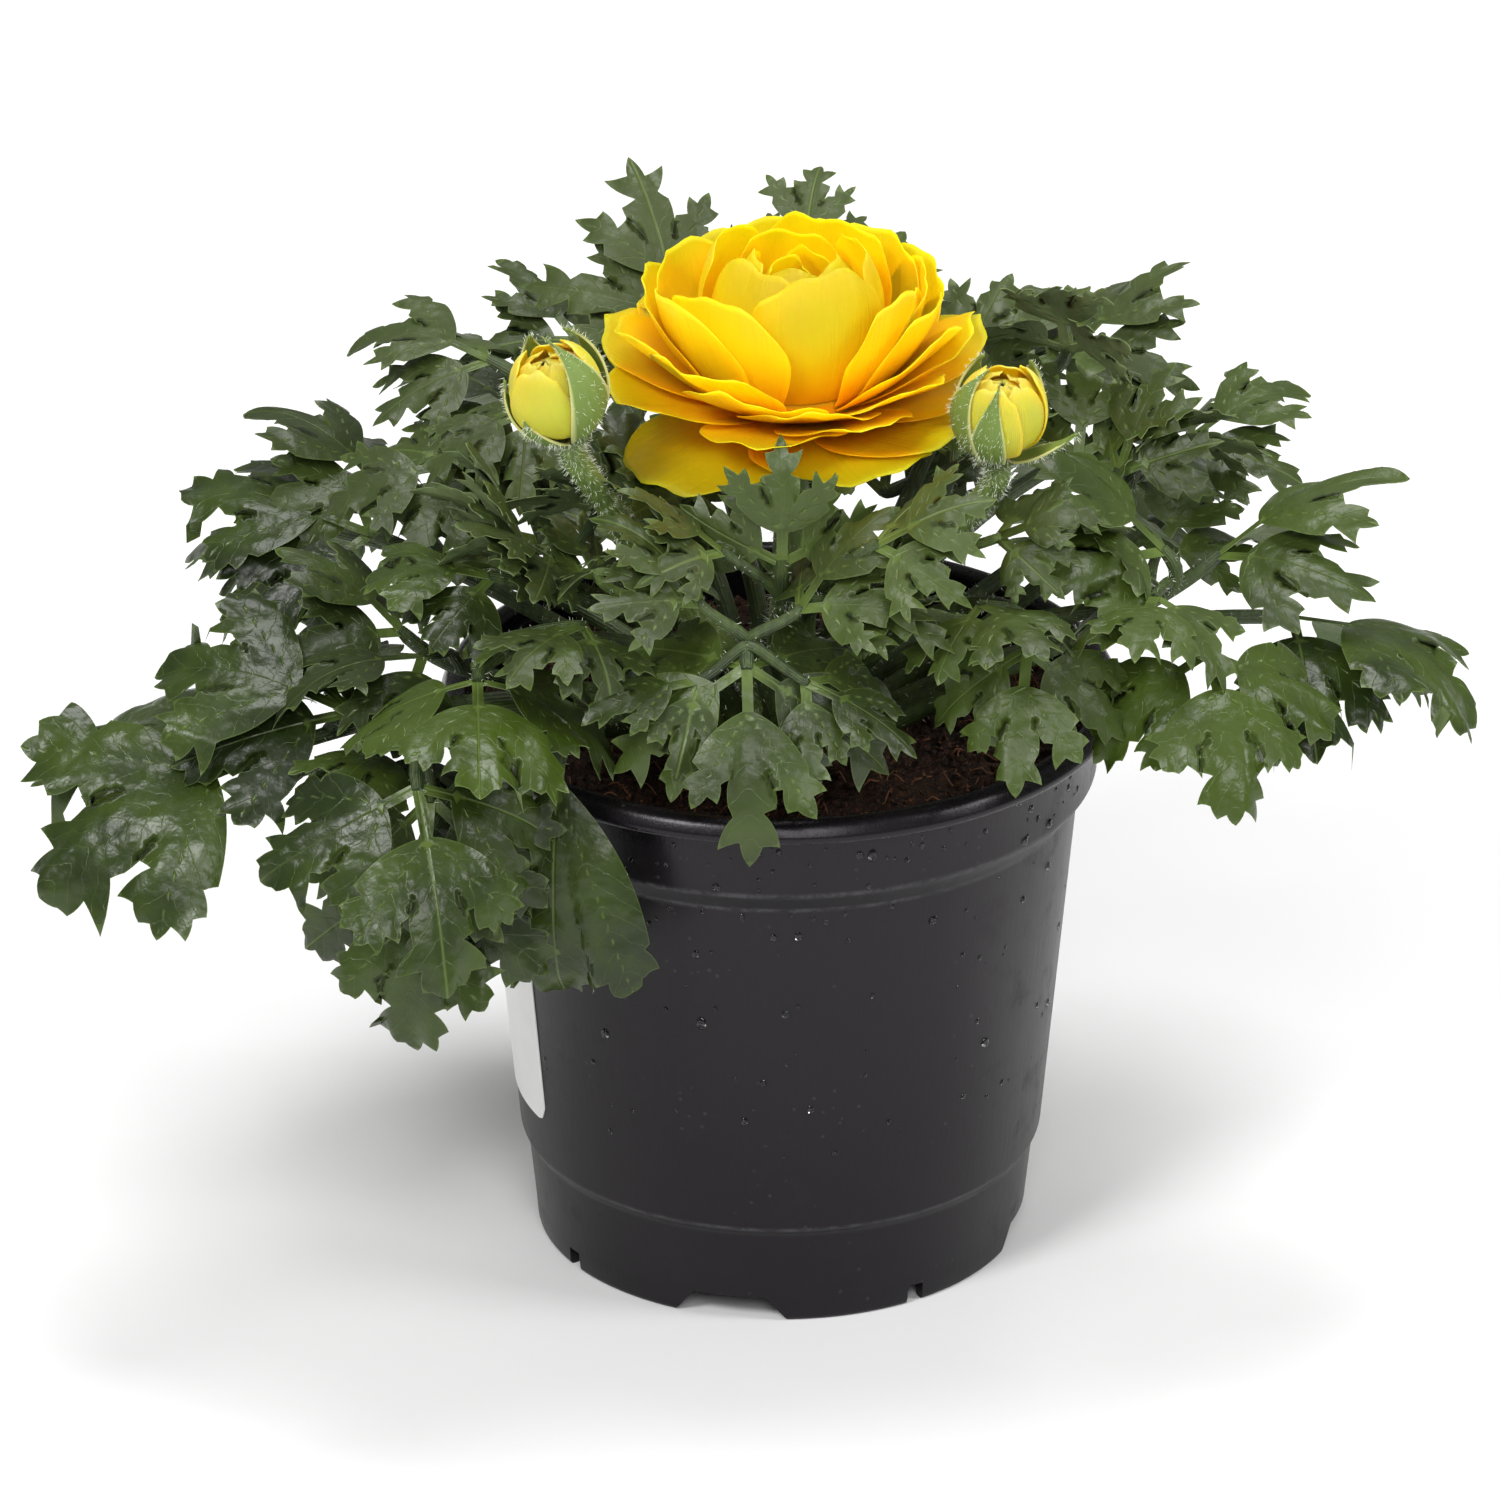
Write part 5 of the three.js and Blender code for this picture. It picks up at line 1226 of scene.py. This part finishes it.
def bud_patch(bud, turn, latitudes, radii, half_width, tip_share, flare, phase):
    """A grid on the bud's egg between two latitudes: its places, normals and the place on the patch."""
    across, along, _, _ = grid(*BUD_GRID)
    share = along * (1 - 0.12 * across**2 + 0.02 * np.sin(6 * across + phase))
    latitude = (latitudes[0] + (latitudes[1] - latitudes[0]) * share) * DEGREE
    width = half_width * (1 - (1 - tip_share) * along**2) * across
    outward = around((turn + width) * DEGREE) * np.cos(latitude)[:, None]
    outward[:, 2] = np.sin(latitude)
    radius = radii[0] + (radii[1] - radii[0]) * np.minimum(3 * along, 1)
    radius = radius + flare * share**3 + 0.12 * np.sin(5 * across + phase) * along
    lean = Vector((0, 0, 1)).rotation_difference(Vector((*bud["lean"], 1)).normalized())
    matrix = np.array(lean.to_matrix()).T
    marks = np.column_stack([across, share, np.full(len(share), 1.37 * phase)])
    points = outward * radius[:, None] * (1, 1, BUD_HEIGHT_SHARE)
    return points @ matrix + bud["centre"], outward @ matrix, marks


def bud_bloom(bud, material):
    """Petals closed in layers, each reaching a little further up inside the last, round a full core."""
    name, radius = bud["name"], bud["radius"]
    _, _, faces, rim = grid(*BUD_GRID)
    shape = Shape()
    for index in range(BUD_PETALS):
        layer = radius - 0.2 - BUD_LAYER_STEP * index
        points, normals, marks = bud_patch(
            bud, BUD_START_TURN + index * GOLDEN_ANGLE, (BUD_FOOT, BUD_TIP + BUD_TIP_STEP * index),
            (layer - 0.8, layer), BUD_PETAL_HALF_WIDTH, 0.7, 0.4 - 0.08 * index, index,
        )
        depths = np.full((len(points), 3), 0.07 * index)
        sheet(shape, points, normals, PETAL_THICKNESS, faces, rim, petal_place=marks, petal_layer=depths)
    core_radii = (radius - BUD_CORE_DEPTH, radius - BUD_CORE_DEPTH + 0.2)
    core, _, marks = bud_patch(bud, 0, (BUD_FOOT, 90), core_radii, 180, 1, 0, 0)
    shape.add(core, [face[::-1] for face in faces], petal_place=marks, petal_layer=0.6)
    shape.build(name + "_bud_bloom", [material], [name + "_bud_petals"])


def bud_stem(bud, materials):
    """Sepals round the bud, its stem and the stem's leaves."""
    name, shell = bud["name"], bud["radius"] + 0.3
    _, _, faces, rim = grid(*BUD_GRID)
    shape = Shape()
    for index, (turn, tip, flare, half_width) in enumerate(bud["sepals"]):
        radii = (shell - 0.2, shell + 0.12 * index)
        points, normals, marks = bud_patch(bud, turn, (-80, tip), radii, half_width, 0.12, flare, index + 20)
        sheet(shape, points, normals, SEPAL_THICKNESS, faces, rim, (SEPAL, SEPAL), petal_place=marks)
        hairs(shape, points, normals, *SEPAL_HAIRS, 400 + index, (0, 0, -0.2))
    axis = unit([*bud["lean"], 1])
    top = bud["centre"] - axis * (shell - 0.6) * BUD_HEIGHT_SHARE
    x, y = bud["foot"]
    path = smooth_path([(x, y, STALK_START), (x, y, STALK_START + 8), bud["bend"], top - axis * 8, top], 12)
    add_stem(shape, path, BUD_STEM_RADIUS, 4.4, 5, 18, BUD_STEM_HAIRS, 410)
    for index, row in enumerate(STEM_LEAVES[name]):
        add_leaf(shape, side_leaf(*row), 50 + index)
    shape.build(name + "_bud_stalk", materials, [name + "_bud_stem"])


# Water on the pot

def drops(look):
    """Half round drops, some on the collar and the rest on the wall, fewer towards the foot."""
    rings, sides = DROP_GRID
    tilts = np.linspace(0, math.pi / 2, rings, endpoint=False)
    dome = np.vstack([around(full_turn(sides)) * math.cos(tilt) + (0, 0, math.sin(tilt)) for tilt in tilts])
    dome = np.vstack([dome, (0, 0, 1)])
    faces = ring_faces(rings, sides) + fan((rings - 1) * sides, sides, rings * sides) + [range(sides)[::-1]]
    shape = Shape()
    draw = np.random.default_rng(5)
    for _ in range(DROP_COUNT):
        ahead = from_front(draw.uniform(*DROP_ANGLES))
        if draw.uniform() < COLLAR_DROPS_SHARE:
            height = draw.uniform(COLLAR_BOTTOM + 1, POT_HEIGHT - 6)
        else:
            height = DROP_TOP - DROP_FALL * draw.uniform() ** 1.6
        size = draw.uniform(0.22, 0.5) if draw.uniform() < 0.8 else draw.uniform(0.5, 0.9)
        axes = np.array([(-ahead[1], ahead[0], 0), (0, 0, draw.uniform(1, 1.6)), ahead * DROP_HEIGHT_SHARE])
        centre = ahead * (wall_radius(height) - 0.03) + (0, 0, height)
        shape.add(centre + size * dome @ axes, faces)
    shape.build("water_drops", [look])


# Studio

def studio():
    world = bpy.data.worlds.new("studio")
    world.use_nodes = True
    background = world.node_tree.nodes["Background"]
    background.inputs["Color"].default_value = (1, 1, 1, 1)
    background.inputs["Strength"].default_value = WORLD_LIGHT
    bpy.context.scene.world = world
    mesh = bpy.data.meshes.new("floor")
    corners = [(-1, -1, 0), (1, -1, 0), (1, 1, 0), (-1, 1, 0)]
    mesh.from_pydata([Vector(corner) * FLOOR_REACH for corner in corners], [], [(0, 1, 2, 3)])
    mesh.materials.append(plain_look("floor", 0.9, 0.002, 1, (0.83, 0.83, 0.83), (0.84, 0.84, 0.84)))
    floor = in_scene("floor", mesh)
    for name, (place, size, power) in LIGHTS.items():
        data = bpy.data.lights.new(name, "AREA")
        data.shape = "DISK"
        data.size = size
        data.energy = power
        aim_at(in_scene(name, data), Vector(place), Vector(LIGHT_AIM))


def aim_at(thing, place, target):
    thing.location = place
    thing.rotation_euler = (target - place).to_track_quat("-Z", "Y").to_euler()


def camera():
    data = bpy.data.cameras.new("camera")
    data.sensor_width = SENSOR_WIDTH
    data.lens = SENSOR_WIDTH * CAMERA_DISTANCE / FRAME_WIDTH
    data.clip_end = 50
    target = Vector(CAMERA_TARGET) * MM
    tilt = CAMERA_ELEVATION * DEGREE
    eye = in_scene("camera", data)
    aim_at(eye, target + Vector((0, -math.cos(tilt), math.sin(tilt))) * CAMERA_DISTANCE * MM, target)
    bpy.context.scene.camera = eye


camera()
studio()
bpy.context.scene.view_settings.view_transform = "Standard"

blade = leaf_look(
    "leaf_blade", (0.008, 0.016, 0.002), (0.042, 0.07, 0.006), (0.12, 0.18, 0.035), (0.064, 0.09, 0.023), 0.3
)
under = leaf_look(
    "leaf_under", (0.07, 0.11, 0.035), (0.11, 0.15, 0.05), (0.19, 0.25, 0.09), (0.13, 0.17, 0.075), 0.55
)
# Leaf stalks darker than the flower's stems: painted shade, as they stand under the leaves.
stalk = stem_look("leaf_stalk_painted_shade", (0.055, 0.085, 0.017), (0.02, 0.035, 0.008))
stem = stem_look("flower_stem", (0.17, 0.25, 0.055), (0.09, 0.14, 0.03))
hair = plain_look("plant_hair", 0.55, 0.2, 2, (0.62, 0.68, 0.5), (0.86, 0.9, 0.78))
yellow = petal_look("petal", (1.0, 0.61, 0.004), (1.0, 0.37, 0.001), (1.0, 0.66, 0.01))
heart = petal_look("petal_heart", (1.0, 0.55, 0.01), (1.0, 0.42, 0.004), (1.0, 0.55, 0.01))
bud_yellow = petal_look("bud_petal", (0.97, 0.6, 0.05), (0.92, 0.46, 0.02), (0.97, 0.78, 0.2))
sepal = sepal_look("sepal", (0.15, 0.23, 0.04), (0.5, 0.53, 0.2))
fibre = plain_look("soil_fibre", 0.8, 0.12, 2, (0.09, 0.03, 0.012), (0.26, 0.12, 0.05))

pot(pot_look())
label(label_look())
soil(soil_look(), fibre)
rootstock(tuber_look())
leaves([blade, under, stalk, hair])
flower(yellow, heart)
flower_stem([blade, under, stem, hair, sepal])
for bud in BUDS:
    bud_bloom(bud, bud_yellow)
    bud_stem(bud, [blade, under, stem, hair, sepal])
drops(water_look())
